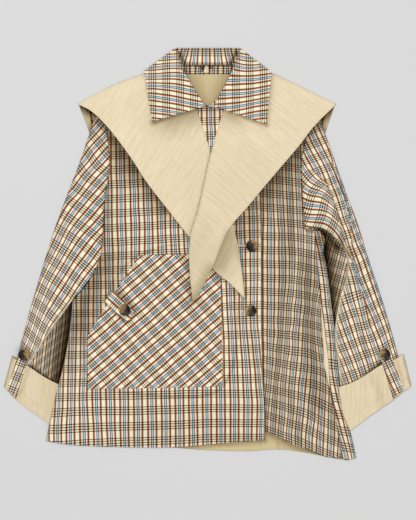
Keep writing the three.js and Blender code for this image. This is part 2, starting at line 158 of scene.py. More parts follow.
def resample(points, step=EDGE_STEP):
    """A line's points again, at even steps."""
    points = np.asarray(points, dtype=float)
    lengths = run_length(points)
    count = max(2, int(round(lengths[-1] / step)) + 1)
    at = np.linspace(0.0, lengths[-1], count)
    return np.column_stack([np.interp(at, lengths, points[:, k]) for k in range(2)])


def smooth_curve(stations, step=EDGE_STEP):
    """A curve through the stations whose turning is shared evenly between them."""
    p = np.asarray(stations, dtype=float)
    if len(p) < 3:
        return resample(p, step)
    p = np.vstack([2 * p[0] - p[1], p, 2 * p[-1] - p[-2]])
    dense = []
    for a, b, c, d in zip(p, p[1:], p[2:], p[3:]):
        knots = np.cumsum([0.0] + [max(1e-6, math.sqrt(np.linalg.norm(v - u))) for u, v in ((a, b), (b, c), (c, d))])
        for t in np.linspace(knots[1], knots[2], CURVE_STEPS, endpoint=False):
            first = [((knots[k + 1] - t) * u + (t - knots[k]) * v) / (knots[k + 1] - knots[k])
                     for k, (u, v) in enumerate(((a, b), (b, c), (c, d)))]
            second = [((knots[k + 2] - t) * first[k] + (t - knots[k]) * first[k + 1]) / (knots[k + 2] - knots[k])
                      for k in range(2)]
            dense.append(((knots[2] - t) * second[0] + (t - knots[1]) * second[1]) / (knots[2] - knots[1]))
    dense.append(p[-2])
    return resample(dense, step)


def outline_of(*parts, straight=False):
    """Joins edges end to end into one closed outline that runs anticlockwise."""
    runs = [resample(part) if straight else smooth_curve(part) for part in parts]
    points = []
    for run in runs:
        for point in run:
            if not points or np.linalg.norm(point - points[-1]) > JOIN:
                points.append(point)
    if np.linalg.norm(points[0] - points[-1]) < JOIN:
        points.pop()
    points = np.array(points)
    after = np.roll(points, -1, axis=0)
    area = 0.5 * np.sum(points[:, 0] * after[:, 1] - after[:, 0] * points[:, 1])
    return points if area > 0 else points[::-1]


def looped(corners):
    return corners + corners[:1]


def corner_outline(corners):
    return outline_of(looped(corners), straight=True)


def back_to_front(name):
    return edges[name][::-1]


# %% [markdown]
# ## The table
# A panel's height is kept on a fine raster of the table. Each panel lies on the highest of the panels
# under it, softened, as cloth bridges a step instead of following it sharply.

# %% Raster of the table
RASTER = 3.0
HALF = 122
SPREAD = 2.5
ticks = np.arange(-HALF, HALF + 1) * RASTER
grid_x, grid_y = np.meshgrid(ticks, ticks)


def smoothstep(value, low, high):
    t = np.clip((value - low) / (high - low), 0.0, 1.0)
    return t * t * (3.0 - 2.0 * t)


def line_distance(line, x, y, closed=False):
    """Distance from places to a line of points."""
    line = np.asarray(line, dtype=float)
    ends = np.roll(line, -1, axis=0) if closed else line[1:]
    nearest = np.full(np.shape(x), np.inf)
    for (ax, ay), (bx, by) in zip(line, ends):
        ux, uy = bx - ax, by - ay
        t = np.clip(((x - ax) * ux + (y - ay) * uy) / (ux * ux + uy * uy + 1e-12), 0.0, 1.0)
        nearest = np.minimum(nearest, (x - ax - t * ux) ** 2 + (y - ay - t * uy) ** 2)
    return np.sqrt(nearest)


def depth_inside(outline, x, y):
    """Distance in from an outline, negative outside it."""
    inside = np.zeros(np.shape(x), dtype=bool)
    for (ax, ay), (bx, by) in zip(outline, np.roll(outline, -1, axis=0)):
        if ay == by:
            continue
        crosses = (ay > y) != (by > y)
        inside ^= crosses & (x < ax + (y - ay) / (by - ay) * (bx - ax))
    distance = line_distance(outline, x, y, closed=True)
    return np.where(inside, distance, -distance)


def soften(levels, radius):
    """Averages a raster over about that many millimetres."""
    reach = int(math.ceil(SPREAD * radius / RASTER))
    weights = np.exp(-0.5 * (np.arange(-reach, reach + 1) * RASTER / radius) ** 2)
    weights /= weights.sum()
    padded = np.pad(levels, reach, mode="edge")
    padded = np.apply_along_axis(np.convolve, 0, padded, weights, mode="valid")
    return np.apply_along_axis(np.convolve, 1, padded, weights, mode="valid")


def sample(levels, x, y):
    u = np.clip(np.asarray(x) / RASTER + HALF, 0, 2 * HALF - 1e-6)
    v = np.clip(np.asarray(y) / RASTER + HALF, 0, 2 * HALF - 1e-6)
    i, j = np.floor(u).astype(int), np.floor(v).astype(int)
    fu, fv = u - i, v - j
    low = levels[j, i] * (1 - fu) + levels[j, i + 1] * fu
    high = levels[j + 1, i] * (1 - fu) + levels[j + 1, i + 1] * fu
    return low * (1 - fv) + high * fv


print("table raster", grid_x.shape, "cells of", RASTER, "mm")

# %% [markdown]
# ## Folds
# The main creases are given one by one. Each row is a line on the table, its half widths to the left and
# the right of the line, its height and the share of its length in which it dies out at each end. The two
# widths differ, since a crease is steeper on one side.

# %% Fold shapes
LINE_STEP = 8.0
FOLD_FALL = 1.6


def fold_height(x, y, stations, widths, height, fade=0.3):
    """A fold's height over the table."""
    line = smooth_curve(stations, LINE_STEP)
    lengths = run_length(line)
    best = np.full(np.shape(x), np.inf)
    across = np.zeros(np.shape(x))
    along = np.zeros(np.shape(x))
    for k in range(len(line) - 1):
        (ax, ay), (bx, by) = line[k], line[k + 1]
        ux, uy = bx - ax, by - ay
        size = math.hypot(ux, uy)
        t = np.clip(((x - ax) * ux + (y - ay) * uy) / (size * size), 0.0, 1.0)
        dx, dy = x - ax - t * ux, y - ay - t * uy
        d = dx * dx + dy * dy
        nearer = d < best
        best = np.where(nearer, d, best)
        across = np.where(nearer, (ux * dy - uy * dx) / size, across)
        along = np.where(nearer, (lengths[k] + t * size) / lengths[-1], along)
    left, right = widths
    side = np.where(across > 0, across / left, -across / right)
    profile = np.exp(-FOLD_FALL * side * side) * (best < (3 * max(left, right)) ** 2)
    ends = smoothstep(along, 0.0, fade) * (1.0 - smoothstep(along, 1.0 - fade, 1.0))
    return height * profile * ends


# %% [markdown]
# No cloth lies quite flat. A few dozen long, low waves with seeded directions and phases add up to the
# small unevenness that is left when a hand has smoothed the coat.

# %% Small unevenness
WAVES = 36
WAVE_HEIGHT = 0.3
WAVE_LENGTHS = (38.0, 130.0)
draw = np.random.default_rng(11)
uneven = np.zeros(grid_x.shape)
for _ in range(WAVES):
    heading, length, start = draw.uniform(0.0, math.pi), draw.uniform(*WAVE_LENGTHS), draw.uniform(0.0, 2 * math.pi)
    uneven += np.cos((grid_x * math.cos(heading) + grid_y * math.sin(heading)) * 2 * math.pi / length + start)
uneven *= WAVE_HEIGHT / uneven.std()
print("unevenness from", round(float(uneven.min()), 2), "to", round(float(uneven.max()), 2), "mm")

# %% [markdown]
# ## Laying the panels
# Panels are laid in the order of the pile, from the table up. The names match the plain model's, so
# each shell can stand for the panel that it dresses.

# %% The laying function
pile = {}
HOLD_FROM, HOLD_TO = 7.0, 24.0
WAVE_RISE = 26.0


def lay(name, outline, on=(), thick=CLOTH, air=0.0, rise=60.0, folds=(), soft=4.0, wave=0.0):
    """Lays a panel on others. It leaves their edges between HOLD_FROM and HOLD_TO outside them, and air
    under its middle lifts it over the width of rise."""
    base = np.zeros(grid_x.shape)
    for under in on:
        outside = np.maximum(0.0, -pile[under]["depth"])
        hold = 1.0 - smoothstep(outside, HOLD_FROM, HOLD_TO)
        base = np.maximum(base, (pile[under]["top"] + GAP) * hold)
    base = soften(base, soft) if on else base
    depth = depth_inside(outline, grid_x, grid_y)
    lift = air * smoothstep(depth, 0.0, rise) + wave * (uneven - uneven.min()) * smoothstep(depth, 0.0, WAVE_RISE)
    for fold in folds:
        lift = lift + fold_height(grid_x, grid_y, *fold)
    pile[name] = {"outline": outline, "depth": depth, "top": base + lift + thick, "thick": thick}


def moved(name, distance):
    """An edge moved along X."""
    return [(x + distance, y) for x, y in edges[name]]


FOLD_INSET = 2.0

# %% [markdown]
# First come the pieces that lie on the table: the collar's back fall, the cape's back, the cuffs and
# the under halves of the sleeves.

# %% Pieces on the table
collar_back_corners = [(-54, 345.5), (-105, 308), (-98, 262), (0, 250), (98, 262), (105, 306), (53, 345.5)]
body_outline = outline_of(
    edges["hem_back"], edges["side_left"], edges["armhole_left"], edges["shoulder_left"][:-1], edges["neck_back"],
    edges["shoulder_right"][1:], edges["armhole_right"], edges["underarm_right"], edges["side_right"])
lay("collar_back", corner_outline(collar_back_corners))
lay("cape_back", outline_of(edges["cape_back_side_right"], edges["cape_back_hem"], edges["cape_back_side_left"],
                            edges["cape_back_ridge"]), on=["collar_back"], thick=CAPE)
for hand in HANDS:
    lay(f"cuff_under_{hand}", outline_of(edges[f"cuff_top_{hand}"], edges[f"cuff_mouth_{hand}"]), thick=TRIM)
lay("sleeve_under_right", outline_of(moved("sleeve_outer_right", FOLD_INSET), edges["sleeve_end_right"],
                                     edges["sleeve_hidden_right"]), on=["cape_back", "cuff_under_right"])
lay("sleeve_under_left", outline_of(edges["sleeve_hidden_left"], edges["sleeve_end_left"],
                                    moved("sleeve_outer_left", -FOLD_INSET)), on=["cape_back", "cuff_under_left"])

# %% Sleeve tops and cuffs
sleeve_folds_right = [
    ([(-186, -20), (-230, -80), (-270, -135), (-300, -185)], (26, 30), 6.0, 0.25),
    ([(-200, 60), (-245, -20), (-290, -120)], (22, 26), 1.6),
    ([(-185, 150), (-215, 90), (-235, 30)], (12, 18), 1.2),
    ([(-172, 170), (-196, 160), (-222, 138)], (8, 10), 1.2),
    ([(-176, 92), (-200, 72), (-238, 50)], (9, 12), 1.1),
    ([(-182, 10), (-214, -20), (-258, -60)], (10, 13), 1.2),
    ([(-262, -70), (-292, -140), (-318, -190)], (14, 11), 1.3),
]
sleeve_folds_left = [
    ([(168, 46), (200, 42), (226, 20), (237, -20), (228, -70)], (30, 24), 6.0, 0.2),
    ([(190, 120), (214, 70), (236, 10), (250, -50)], (9, 16), 2.2),
    ([(160, 105), (190, 92), (215, 62)], (9, 9), 1.3),
    ([(162, 80), (190, 72), (212, 46)], (8, 8), 1.2),
    ([(262, -60), (288, -130), (300, -190)], (16, 20), 1.4),
    ([(162, 130), (184, 124), (206, 100)], (7, 9), 1.1),
    ([(162, 62), (186, 60), (204, 50)], (6, 6), 0.9),
    ([(236, -30), (262, -120), (276, -200)], (10, 8), 1.3),
    ([(212, 142), (232, 78), (242, 20), (252, -40), (273, -116)], (5, 12), 1.6),
]
lay("sleeve_top_right", outline_of(edges["sleeve_outer_right"], edges["sleeve_ridge_right"],
                                   back_to_front("underarm_right"), back_to_front("armhole_right")),
    on=["sleeve_under_right", "cape_back"], air=1.2, folds=sleeve_folds_right, wave=1.0)
lay("sleeve_top_left", outline_of(edges["sleeve_outer_left"], back_to_front("armhole_left"),
                                  edges["sleeve_ridge_left"]),
    on=["sleeve_under_left", "cape_back"], air=1.2, folds=sleeve_folds_left, wave=1.0)
for hand in HANDS:
    lay(f"cuff_{hand}", pile[f"cuff_under_{hand}"]["outline"], on=[f"sleeve_top_{hand}", f"sleeve_under_{hand}"],
        thick=TRIM, soft=7.0, wave=0.6)


# %% Back, lining and fronts
def inside_of(outline, distance):
    """An outline moved inwards by a distance."""
    before, after = np.roll(outline, 1, axis=0), np.roll(outline, -1, axis=0)
    along = after - before
    along /= np.linalg.norm(along, axis=1)[:, None]
    return outline + np.column_stack([-along[:, 1], along[:, 0]]) * distance


front_folds_left = [
    ([(146, 60), (156, -60), (163, -190), (170, -320)], (16, 20), 2.2),
    ([(120, 30), (128, -110), (140, -260)], (14, 12), -1.0),
    ([(104, -140), (112, -205), (126, -310)], (8, 11), 1.1),
    ([(163, 48), (164, -10), (161, -75)], (5, 8), 1.2),
    ([(168, 38), (175, 22), (178, -6)], (4, 5), 1.1),
    ([(150, -150), (168, -240), (192, -330)], (10, 8), 1.2),
    ([(176, 20), (180, -60), (186, -150)], (7, 8), 1.4),
]
front_folds_right = [
    ([(-150, 150), (-166, 40), (-160, -40)], (20, 14), 1.4),
    ([(-222, -110), (-236, -220), (-240, -310)], (16, 18), 1.6),
    ([(-130, -250), (-120, -325)], (22, 18), 1.0),
    ([(20, -240), (30, -318)], (26, 22), 0.9),
    ([(58, -90), (74, -160), (92, -240), (94, -310)], (7, 12), 1.3),
    ([(62, 30), (66, -30), (60, -90)], (12, 9), 0.8),
]
BACK_INSET, LINING_INSET = 2.2, 1.6
lay("back", inside_of(body_outline, BACK_INSET),
    on=["cape_back", "collar_back", "sleeve_under_right", "sleeve_under_left", "cuff_right", "cuff_left"])
lay("back_lining", inside_of(body_outline, LINING_INSET), on=["back"], thick=LINING)
lay("front_left", outline_of(edges["hem_left"], edges["side_seam_left"], edges["armhole_left"],
                             edges["shoulder_left"], edges["neck_left"]),
    on=["back_lining"], air=1.5, folds=front_folds_left, wave=0.9)
lay("side_panel_left", outline_of(edges["hem_side_left"], edges["side_left"], back_to_front("side_seam_left")),
    on=["back_lining"], air=1.0, rise=30.0, folds=front_folds_left[-1:])
lay("front_right", outline_of(edges["hem_right"], edges["front_edge_right"], edges["neck_right"],
                              edges["shoulder_right"], edges["armhole_right"], edges["underarm_right"],
                              edges["side_right"]),
    on=["back_lining", "front_left"], air=1.5, folds=front_folds_right, wave=0.9)

# %% Pocket, cape, collar and straps
pocket_corners = [(-204, -231), (25, -226), (21, -1), (-117, -4), (-204, -139)]
tab_corners = [(-176, -81), (-140, -116), (-131, -113), (-125, -99), (-162, -62)]
facing_corners = [(190.5, -79), (194, -131), (197, -190), (206, -231), (205, -190), (198, -131)]
stand_corners = [(-38, 303), (38, 303), (43, 318), (-43, 318)]
loop_corners = [(-8, 305), (1.5, 305), (0.5, 317), (-5, 317)]
collar_corners = [(-56, 348), (-108, 309), (-94, 222), (-5, 248), (-39, 304), (-44, 318), (44, 318), (39, 304),
                  (10, 248), (99, 218), (108, 307), (55, 348)]
strap_corners = {
    "right": [(-341, -231), (-326, -247), (-301, -170), (-310, -160), (-320, -168)],
    "left": [(314, -247), (331, -233), (309, -166), (298, -159), (289, -168)],
}
cape_folds_right = [
    ([(-150, 232), (-96, 120), (-20, 10)], (26, 20), 1.2),
    ([(-70, 180), (-20, 70), (34, -30)], (20, 28), -0.7),
    ([(30, 40), (44, -10), (56, -60)], (9, 14), 0.9),
]
cape_folds_left = [
    ([(150, 236), (88, 130), (20, 30)], (22, 28), 1.2),
    ([(64, 190), (24, 90), (-12, -20)], (24, 18), -0.7),
    ([(-4, 60), (-14, 10), (-24, -60)], (12, 9), 0.9),
]
collar_folds = [
    ([(-55, 345), (-46, 320), (-38, 298), (-8, 252)], (6, 10), 1.7, 0.12),
    ([(12, 252), (38, 298), (46, 320), (54, 345)], (6, 10), 1.7, 0.12),
]
lay("side_pocket_facing_left", corner_outline(facing_corners), on=["front_left", "side_panel_left"],
    thick=FACING)
lay("patch_pocket", corner_outline(pocket_corners), on=["front_right"], thick=TRIM)
lay("pocket_tab", corner_outline(tab_corners), on=["patch_pocket", "front_right"], thick=TRIM)
lay("cape_right", outline_of(edges["cape_ridge_right"], edges["cape_outer_right"], edges["cape_inner_right"]),
    on=["front_right", "front_left", "sleeve_top_right", "patch_pocket", "back_lining", "cape_back"], thick=CAPE,
    folds=cape_folds_right, wave=0.5)
lay("cape_left", outline_of(edges["cape_ridge_left"], edges["cape_inner_left"], edges["cape_outer_left"]),
    on=["cape_right", "front_right", "front_left", "sleeve_top_left", "patch_pocket", "back_lining", "cape_back"],
    thick=CAPE, folds=cape_folds_left, wave=0.5)
lay("collar_stand", corner_outline(stand_corners), on=["back_lining", "back", "cape_back"], thick=TRIM)
lay("hanger_loop", corner_outline(loop_corners), on=["collar_stand", "back_lining"], thick=TRIM)
lay("collar", corner_outline(collar_corners),
    on=["cape_right", "cape_left", "front_right", "front_left", "back_lining", "back", "cape_back", "collar_back"],
    folds=collar_folds, wave=0.4)
for hand in HANDS:
    lay(f"strap_{hand}", corner_outline(strap_corners[hand]), on=[f"cuff_{hand}", f"sleeve_top_{hand}"], thick=TRIM)
for name, layer in pile.items():
    inside = layer["depth"] > 0
    print(f"{name:24s} top {layer['top'][inside].min():5.1f} to {layer['top'][inside].max():5.1f} mm")

# %% [markdown]
# ## Grain
# The check follows the weave, so each panel needs its grain. Where a stripe runs was read off the photo
# at a few places, and a thin plate through those places carries the stripes over the whole panel.

# %% Thin plate through a few places
def plate(places, values, give=0.002):
    """A smooth field through values at places, which may miss each value a little by give."""
    p = np.asarray(places, dtype=float) / 100.0
    count = len(p)
    square = ((p[:, None, :] - p[None, :, :]) ** 2).sum(-1)
    plane = np.column_stack([np.ones(count), p])
    system = np.zeros((count + 3, count + 3))
    system[:count, :count] = 0.5 * square * np.log(square + 1e-12) + give * np.eye(count)
    system[:count, count:] = plane
    system[count:, :count] = plane.T
    weights = np.linalg.solve(system, np.concatenate([np.asarray(values, dtype=float), np.zeros(3)]))

    def value(x, y):
        q = np.column_stack([np.ravel(x), np.ravel(y)]) / 100.0
        d = ((q[:, None, :] - p[None, :, :]) ** 2).sum(-1)
        return (0.5 * d * np.log(d + 1e-12)) @ weights[:count] + weights[count] + q @ weights[count + 1:]

    return value


def rows_field(rows, along_x=True):
    """Rows of (fixed photo coordinate, first stripe, stripe places) as a stripe count over the table."""
    places = [(station, fixed) if along_x else (fixed, station) for fixed, _, row in rows for station in row]
    values = [first + k for _, first, row in rows for k in range(len(row))]
    return plate(from_photo(places), values)


# %% [markdown]
# The light blue stripes are counted from one side of a panel to the other. Weft groups are counted down
# the panel in the same way, at the columns where their middles were read.

# %% Fronts: where the blue stripes run
right_front_rows = [
    (434, -3, [70.5, 84, 97.5, 111, 124.5, 138, 152, 165.5, 179.5, 193, 206.5, 220.5, 234, 247, 260]),
    (396, -3, [71.5, 83, 96.5, 110, 124, 137.5, 151.5, 165, 179, 192.5, 206.5, 220, 234, 247, 260]),
    (348, -3, [72.5, 84]),
    (280, -1, [97, 109]),
    (248, 0, [108.5, 122, 135, 148.5, 162, 175, 188]),
    (220, 0, [108, 121, 135, 148, 161]),
    (155, 1, [120]),
    (230, 10, [239.8, 252.9]),
    (272, 10, [241.5, 253.3]),
    (299, 9, [230.1, 241.9, 253.1]),
    (325, 9, [231.2, 242.4, 253.2]),
    (339, 9, [231.9, 243.4, 254.8]),
    (355, 9, [232.4, 245.0, 256.3]),
    (371, 9, [232.9, 245.8, 257.9]),
    (385, 9, [233.3, 246.2, 258.9]),
]
right_front_wefts = [
    (60, 16, [411, 428, 444]),
    (85, 9, [312.8, 326.5, 340, 353.8, 367.5, 381.5, 395.5, 410.2, 426.8]),
    (117, 0, [184, 198.5, 212.8, 227.2, 241.5, 255.5, 269.5, 283.8]),
    (117, 16, [409.8, 425.8, 441]),
    (171, 16, [408.5, 424, 439.5]),
    (213, 16, [407.2, 421.8, 437]),
    (243, 11, [333.5, 348, 362.5, 377.5, 392.5, 407.2, 422.2, 437]),
]
left_front_rows = [
    (233, 12, [270, 281.5, 290, 300, 308.5, 317]),
    (261, 12, [270, 282, 291.5, 300, 308, 316]),
    (283, 12, [270, 282, 291, 298, 306.5, 316.5]),
    (308, 12, [270, 281, 288, 296.5, 307, 313, 318]),
    (333, 12, [269.5, 280.5, 286, 294.5, 305, 312, 318]),
    (362, 12, [269, 278, 284, 293, 303.5, 313.5, 321.5]),
    (385, 12, [268, 275, 282, 291, 301, 313, 322]),
    (417, 12, [265, 272.5, 281.5, 289.5, 298.5, 310.5, 320.5, 330.5]),
    (435, 12, [265, 272, 280, 288, 297.5, 308.5, 319.5, 330.5]),
]
left_front_wefts = [
    (269, 0, [236, 250, 263.8, 277.8, 291.5, 305.2, 318.8, 332.2, 346, 359.8, 373.5, 387.8, 401.5, 415, 430.2]),
    (291, 0, [236.5, 250.5, 264.5, 278.8, 292.8, 306.8, 320.8, 334.5, 350, 364.8, 379.5, 393.2, 408.2, 423.2]),
    (308, 1, [253.2, 268, 282.2, 295.5, 310.2, 323.2, 337.5, 352.2, 367.5, 382.2, 397.8, 413.2, 428.5]),
    (316, 8, [356, 369.5, 384.5, 401, 418, 433, 448]),
]
side_panel_rows = [(233, 0, [317.5]), (258, 0, [322.5]), (283, 0, [326.5]), (304, 0, [328.5]), (337, 0, [332.5]),
                   (376, 0, [335.5]), (403, -1, [329, 341.5]), (417, -1, [333, 345]), (435, -1, [338, 349]),
                   (453, -1, [344, 353])]
side_panel_wefts = [
    (320, 0, [241, 256, 271, 287.5, 302]),
    (332, 0, [243, 258, 272.5, 289, 303.5, 318.5, 334, 346, 363.5, 380, 396, 412.5, 428.5, 444.5]),
]


def two_ways(across, along):
    """A grain from one field across the stripes and one along them."""
    return lambda x, y: (across(x, y), along(x, y))


def front_grain(rows, wefts):
    return two_ways(rows_field(rows), rows_field(wefts, along_x=False))


# %% [markdown]
# On a sleeve the stripes bend with the cloth. Each stripe is a curve, and the weft is counted by walking
# along the curves, each one matched to its neighbour.

# %% Sleeves: stripes as curves
right_sleeve_stripes = [
    (0, [(101, 240), (89.5, 256), (77, 272), (67, 288), (57, 304), (46.5, 320), (39.5, 336), (33.5, 352)]),
    (1, [(98, 224), (83.5, 240), (72, 256), (62.5, 272), (52.5, 288), (44, 304), (38, 320)]),
    (2, [(100, 200), (86, 216), (73, 232), (64, 248), (55, 264), (46, 280), (40, 296), (34, 312), (26, 336)]),
    (3, [(103.5, 176), (89, 192), (76, 208), (65, 224), (57, 240), (49.5, 256), (42, 272), (31, 296), (26.5, 312)]),
    (4, [(101, 160), (85.5, 176), (74, 192), (64.5, 200)]),
    (5, [(105, 136), (97.5, 144), (90, 152), (85, 160)]),
]
left_sleeve_outer = [
    (0, [(333, 154), (337, 170), (341.5, 184), (345.8, 200), (351, 218), (355, 230), (359.5, 243), (364, 252),
         (369, 265), (374, 280), (378, 293), (382, 304), (386, 316), (390, 328), (394, 342), (397, 353)]),
    (1, [(350, 252), (354, 264), (358, 277), (363, 288), (367, 298), (371, 308), (375, 317), (380, 330), (384, 341),
         (389, 356)]),
]
left_sleeve_inner = [
    (0, [(329, 143), (333, 154)]),
    (1, [(315.5, 143), (319, 150), (323, 157), (327.5, 166), (332, 176), (335.5, 185), (339, 193), (341.5, 201),
         (346, 219)]),
    (0, [(386, 316), (390, 328), (394, 342), (397, 353)]),
    (1, [(375, 317), (380, 330), (384, 341), (389, 356)]),
    (2, [(307, 152.5), (316.5, 170), (330, 205), (341, 232), (346, 250), (352.5, 268), (356, 281), (358.5, 290),
         (360.5, 300), (364.5, 320), (367, 328), (371.5, 340), (378, 360)]),
    (3, [(346, 288), (349.5, 300), (353, 311), (356.5, 321), (361.5, 340), (369, 360)]),
    (4, [(341, 311), (343.5, 320), (347.5, 331), (351, 340), (358, 360)]),
    (5, [(335, 327), (339, 340), (347, 360)]),
    (6, [(330, 345), (336.5, 360)]),
]
left_sleeve_outer_wefts = [
    (0, [(341.5, 183)]), (1, [(345.5, 197)]), (2, [(349, 211)]), (3, [(353, 224)]), (4, [(357, 236)]),
    (5, [(362, 248), (355.5, 251)]), (6, [(366.5, 262), (361, 265), (355, 269)]),
    (7, [(371, 274), (365.5, 278), (359, 281)]), (8, [(376, 287), (370, 291), (364, 294)]),
    (9, [(380, 300), (375.5, 303), (370, 307)]), (10, [(385, 313), (380, 316), (374, 319)]),
    (11, [(389, 326), (384.5, 329), (379, 332)]), (12, [(393, 341), (389, 344)]),
]
left_sleeve_inner_wefts = [
    (-2, [(316, 157)]), (-1, [(322, 169)]), (0, [(328, 181.5)]), (1, [(332.5, 193)]), (2, [(337, 206)]),
    (3, [(342, 221)]), (4, [(346, 234)]), (5, [(348, 251)]), (6, [(352, 266)]), (7, [(355.5, 279.5), (346, 280)]),
    (8, [(357.5, 294), (349, 298)]), (9, [(362, 311), (353.5, 312), (342, 317)]),
    (10, [(385, 313), (380, 316), (374, 319), (366, 325), (357, 326), (346, 331)]),
    (11, [(389, 326), (384.5, 329), (379, 332), (370, 338), (361, 339), (351, 344), (340, 348)]),
    (12, [(393, 341), (389, 344), (374, 350), (355.5, 357), (345, 361)]),
]
left_sleeve_pleat = [(329, 156), (333, 168), (337.5, 180), (341, 188), (343.8, 197), (346, 206), (348.5, 216),
                     (349.8, 225), (350.3, 233), (350.6, 241), (351, 249), (352, 259), (354.8, 269), (357.2, 278),
                     (360.3, 288), (363.5, 300), (366.5, 311), (369.5, 322)]
left_sleeve_tuck = [(361, 316), (362, 332), (363.5, 345), (366, 362)]
left_armhole_stripes = [
    (2, [(309, 155), (312.5, 163), (317, 170), (322, 178)]),
    (3, [(302.5, 167.5), (308, 176), (312, 180), (317, 183), (322.5, 185.5), (327, 190)]),
    (4, [(301.5, 185), (307, 190), (311, 192.5), (318, 192.5), (322.5, 194), (327.5, 198), (332.5, 204)]),
    (5, [(303, 202.5), (308, 205), (315, 205.5), (322, 207), (328, 209), (333, 213.5), (337.5, 218)]),
    (6, [(306, 217.5), (312.5, 218), (318, 218.5), (324, 219), (331, 223), (336.5, 229), (341.5, 235), (347, 247)]),
]
armhole_crease = [(295, 160), (316, 174), (325, 181), (331, 195), (336, 211), (343, 238), (352, 262)]


GRAIN_STEP = 12.0
NEIGHBOUR = 1.8 * WARP_REPEAT


def sleeve_grain(stripes):
    """A grain from stripes alone. The weft starts on each curve where its neighbour says."""
    places, counts, walked = [], [], []
    previous = None
    for index, stations in stripes:
        curve = smooth_curve(from_photo(stations), GRAIN_STEP)
        walk = run_length(curve)
        if previous is not None:
            offsets = []
            for point, distance in zip(curve, walk):
                gaps = np.linalg.norm(previous[0] - point, axis=1)
                nearest = int(np.argmin(gaps))
                if gaps[nearest] < NEIGHBOUR and 0 < nearest < len(gaps) - 1:
                    offsets.append(previous[1][nearest] - distance)
            if offsets:
                walk = walk + float(np.mean(offsets))
        previous = (curve, walk)
        places += curve.tolist()
        counts += [index] * len(curve)
        walked += walk.tolist()
    return two_ways(plate(places, counts, give=0.01), plate(places, np.array(walked) / WEFT_REPEAT, give=0.02))


def counted(rows):
    """Rows of (number, places in the photo) as places and their numbers."""
    places = [place for _, row in rows for place in row]
    return from_photo(places), [number for number, row in rows for _ in row]


def table_grain(stripes, wefts):
    """A grain from stripes as curves and from the places of numbered weft groups."""
    curves = [(number, smooth_curve(from_photo(row), GRAIN_STEP)) for number, row in stripes]
    across = plate(np.vstack([curve for _, curve in curves]),
                   [number for number, curve in curves for _ in curve], give=0.004)
    return two_ways(across, plate(*counted(wefts), give=0.004))


# %% [markdown]
# The collar is cut with its stripes across the leaves, and the pocket is cut on the slant. The back and
# the tab simply follow a straight line of grain.

# %% Collar, pocket and straight grains
collar_right_rows = [(154, 0, [67.5, 77, 86, 97.5, 110]), (166, -1, [57, 66, 76.5, 87, 99.5, 111.5]),
                     (178, 0, [66, 76.5, 88.5, 101.5, 113.5]), (190, 2, [91, 104]), (202, 3, [106])]
collar_left_rows = [(230, 0, [65, 81, 94.5, 108]), (242, -1, [57, 68, 80.5, 94, 106]),
                    (254, -1, [58, 68, 80, 92.5, 103.5, 116]), (266, 0, [66, 78, 90, 101.5, 114.5])]
collar_band_rows = [(50, 0, [184.8, 194.2, 205.6, 217.3, 227.3]), (64, 0, [180.5, 193.2, 205.6, 218.3, 230.5])]


def straight_grain(angle, through, repeats=(WARP_REPEAT, WEFT_REPEAT), slant=0.0):
    """Stripes at an angle above the X axis, with one stripe and one weft group through a photo place.
    A slant turns the weft out of its right angle, as on cloth that is seen askew."""
    turn, skew = math.radians(angle), math.radians(angle + slant)
    stripe, across = np.array([math.cos(skew), math.sin(skew)]), np.array([math.sin(turn), -math.cos(turn)])
    start = from_photo(through)

    def grain(x, y):
        p = np.column_stack([np.ravel(x), np.ravel(y)]) - start
        return p @ across / repeats[0], p @ stripe / repeats[1]

    return grain


LEAF_REPEAT, BAND_REPEAT, BAND_TOP = 23.5, 23.7, 340.0
BAND_HALF, BAND_SPREAD, BAND_RISE = 44.0, 11.0, 30.0
STAND_TOP, STAND_FOOT = 318.0, 304.0


def leaf_grain(rows):
    return two_ways(rows_field(rows, along_x=False), lambda x, y: np.ravel(x) / LEAF_REPEAT)


def band_grain(rows):
    return two_ways(rows_field(rows), lambda x, y: (np.ravel(y) - BAND_TOP) / BAND_REPEAT)


def collar_zone(x, y):
    """0 and 1 are the leaves, 2 is the band between them, which widens from the stand to the fold."""
    leaf_line = BAND_HALF + np.clip((y - STAND_TOP) / BAND_RISE, 0.0, 1.0) * BAND_SPREAD
    return np.where((np.abs(x) < leaf_line) & (y > STAND_FOOT), 2, np.where(x < 0, 0, 1))


def armhole_zone(x, y):
    """1 is the cloth that fans out from the left armhole, 2 the cloth outside the sleeve's long pleat."""
    crease, pleat = from_photo(armhole_crease), from_photo(left_sleeve_pleat)
    below = (y < np.interp(x, crease[:, 0], crease[:, 1])) & (x < crease[-1, 0]) & (y > crease[-1, 1])
    outside = (x > np.interp(y, pleat[::-1, 1], pleat[::-1, 0])) & (y < pleat[0, 1]) & (y > pleat[-1, 1])
    return np.where(below, 1, np.where(outside, 2, 0))


def whole(x, y):
    return np.zeros(len(x), dtype=int)


# %% [markdown]
# A panel's grain is a list of fields and a rule that tells which of them a face follows. Most panels
# have one field. A sharp crease or a fold in the cut parts a panel into zones.

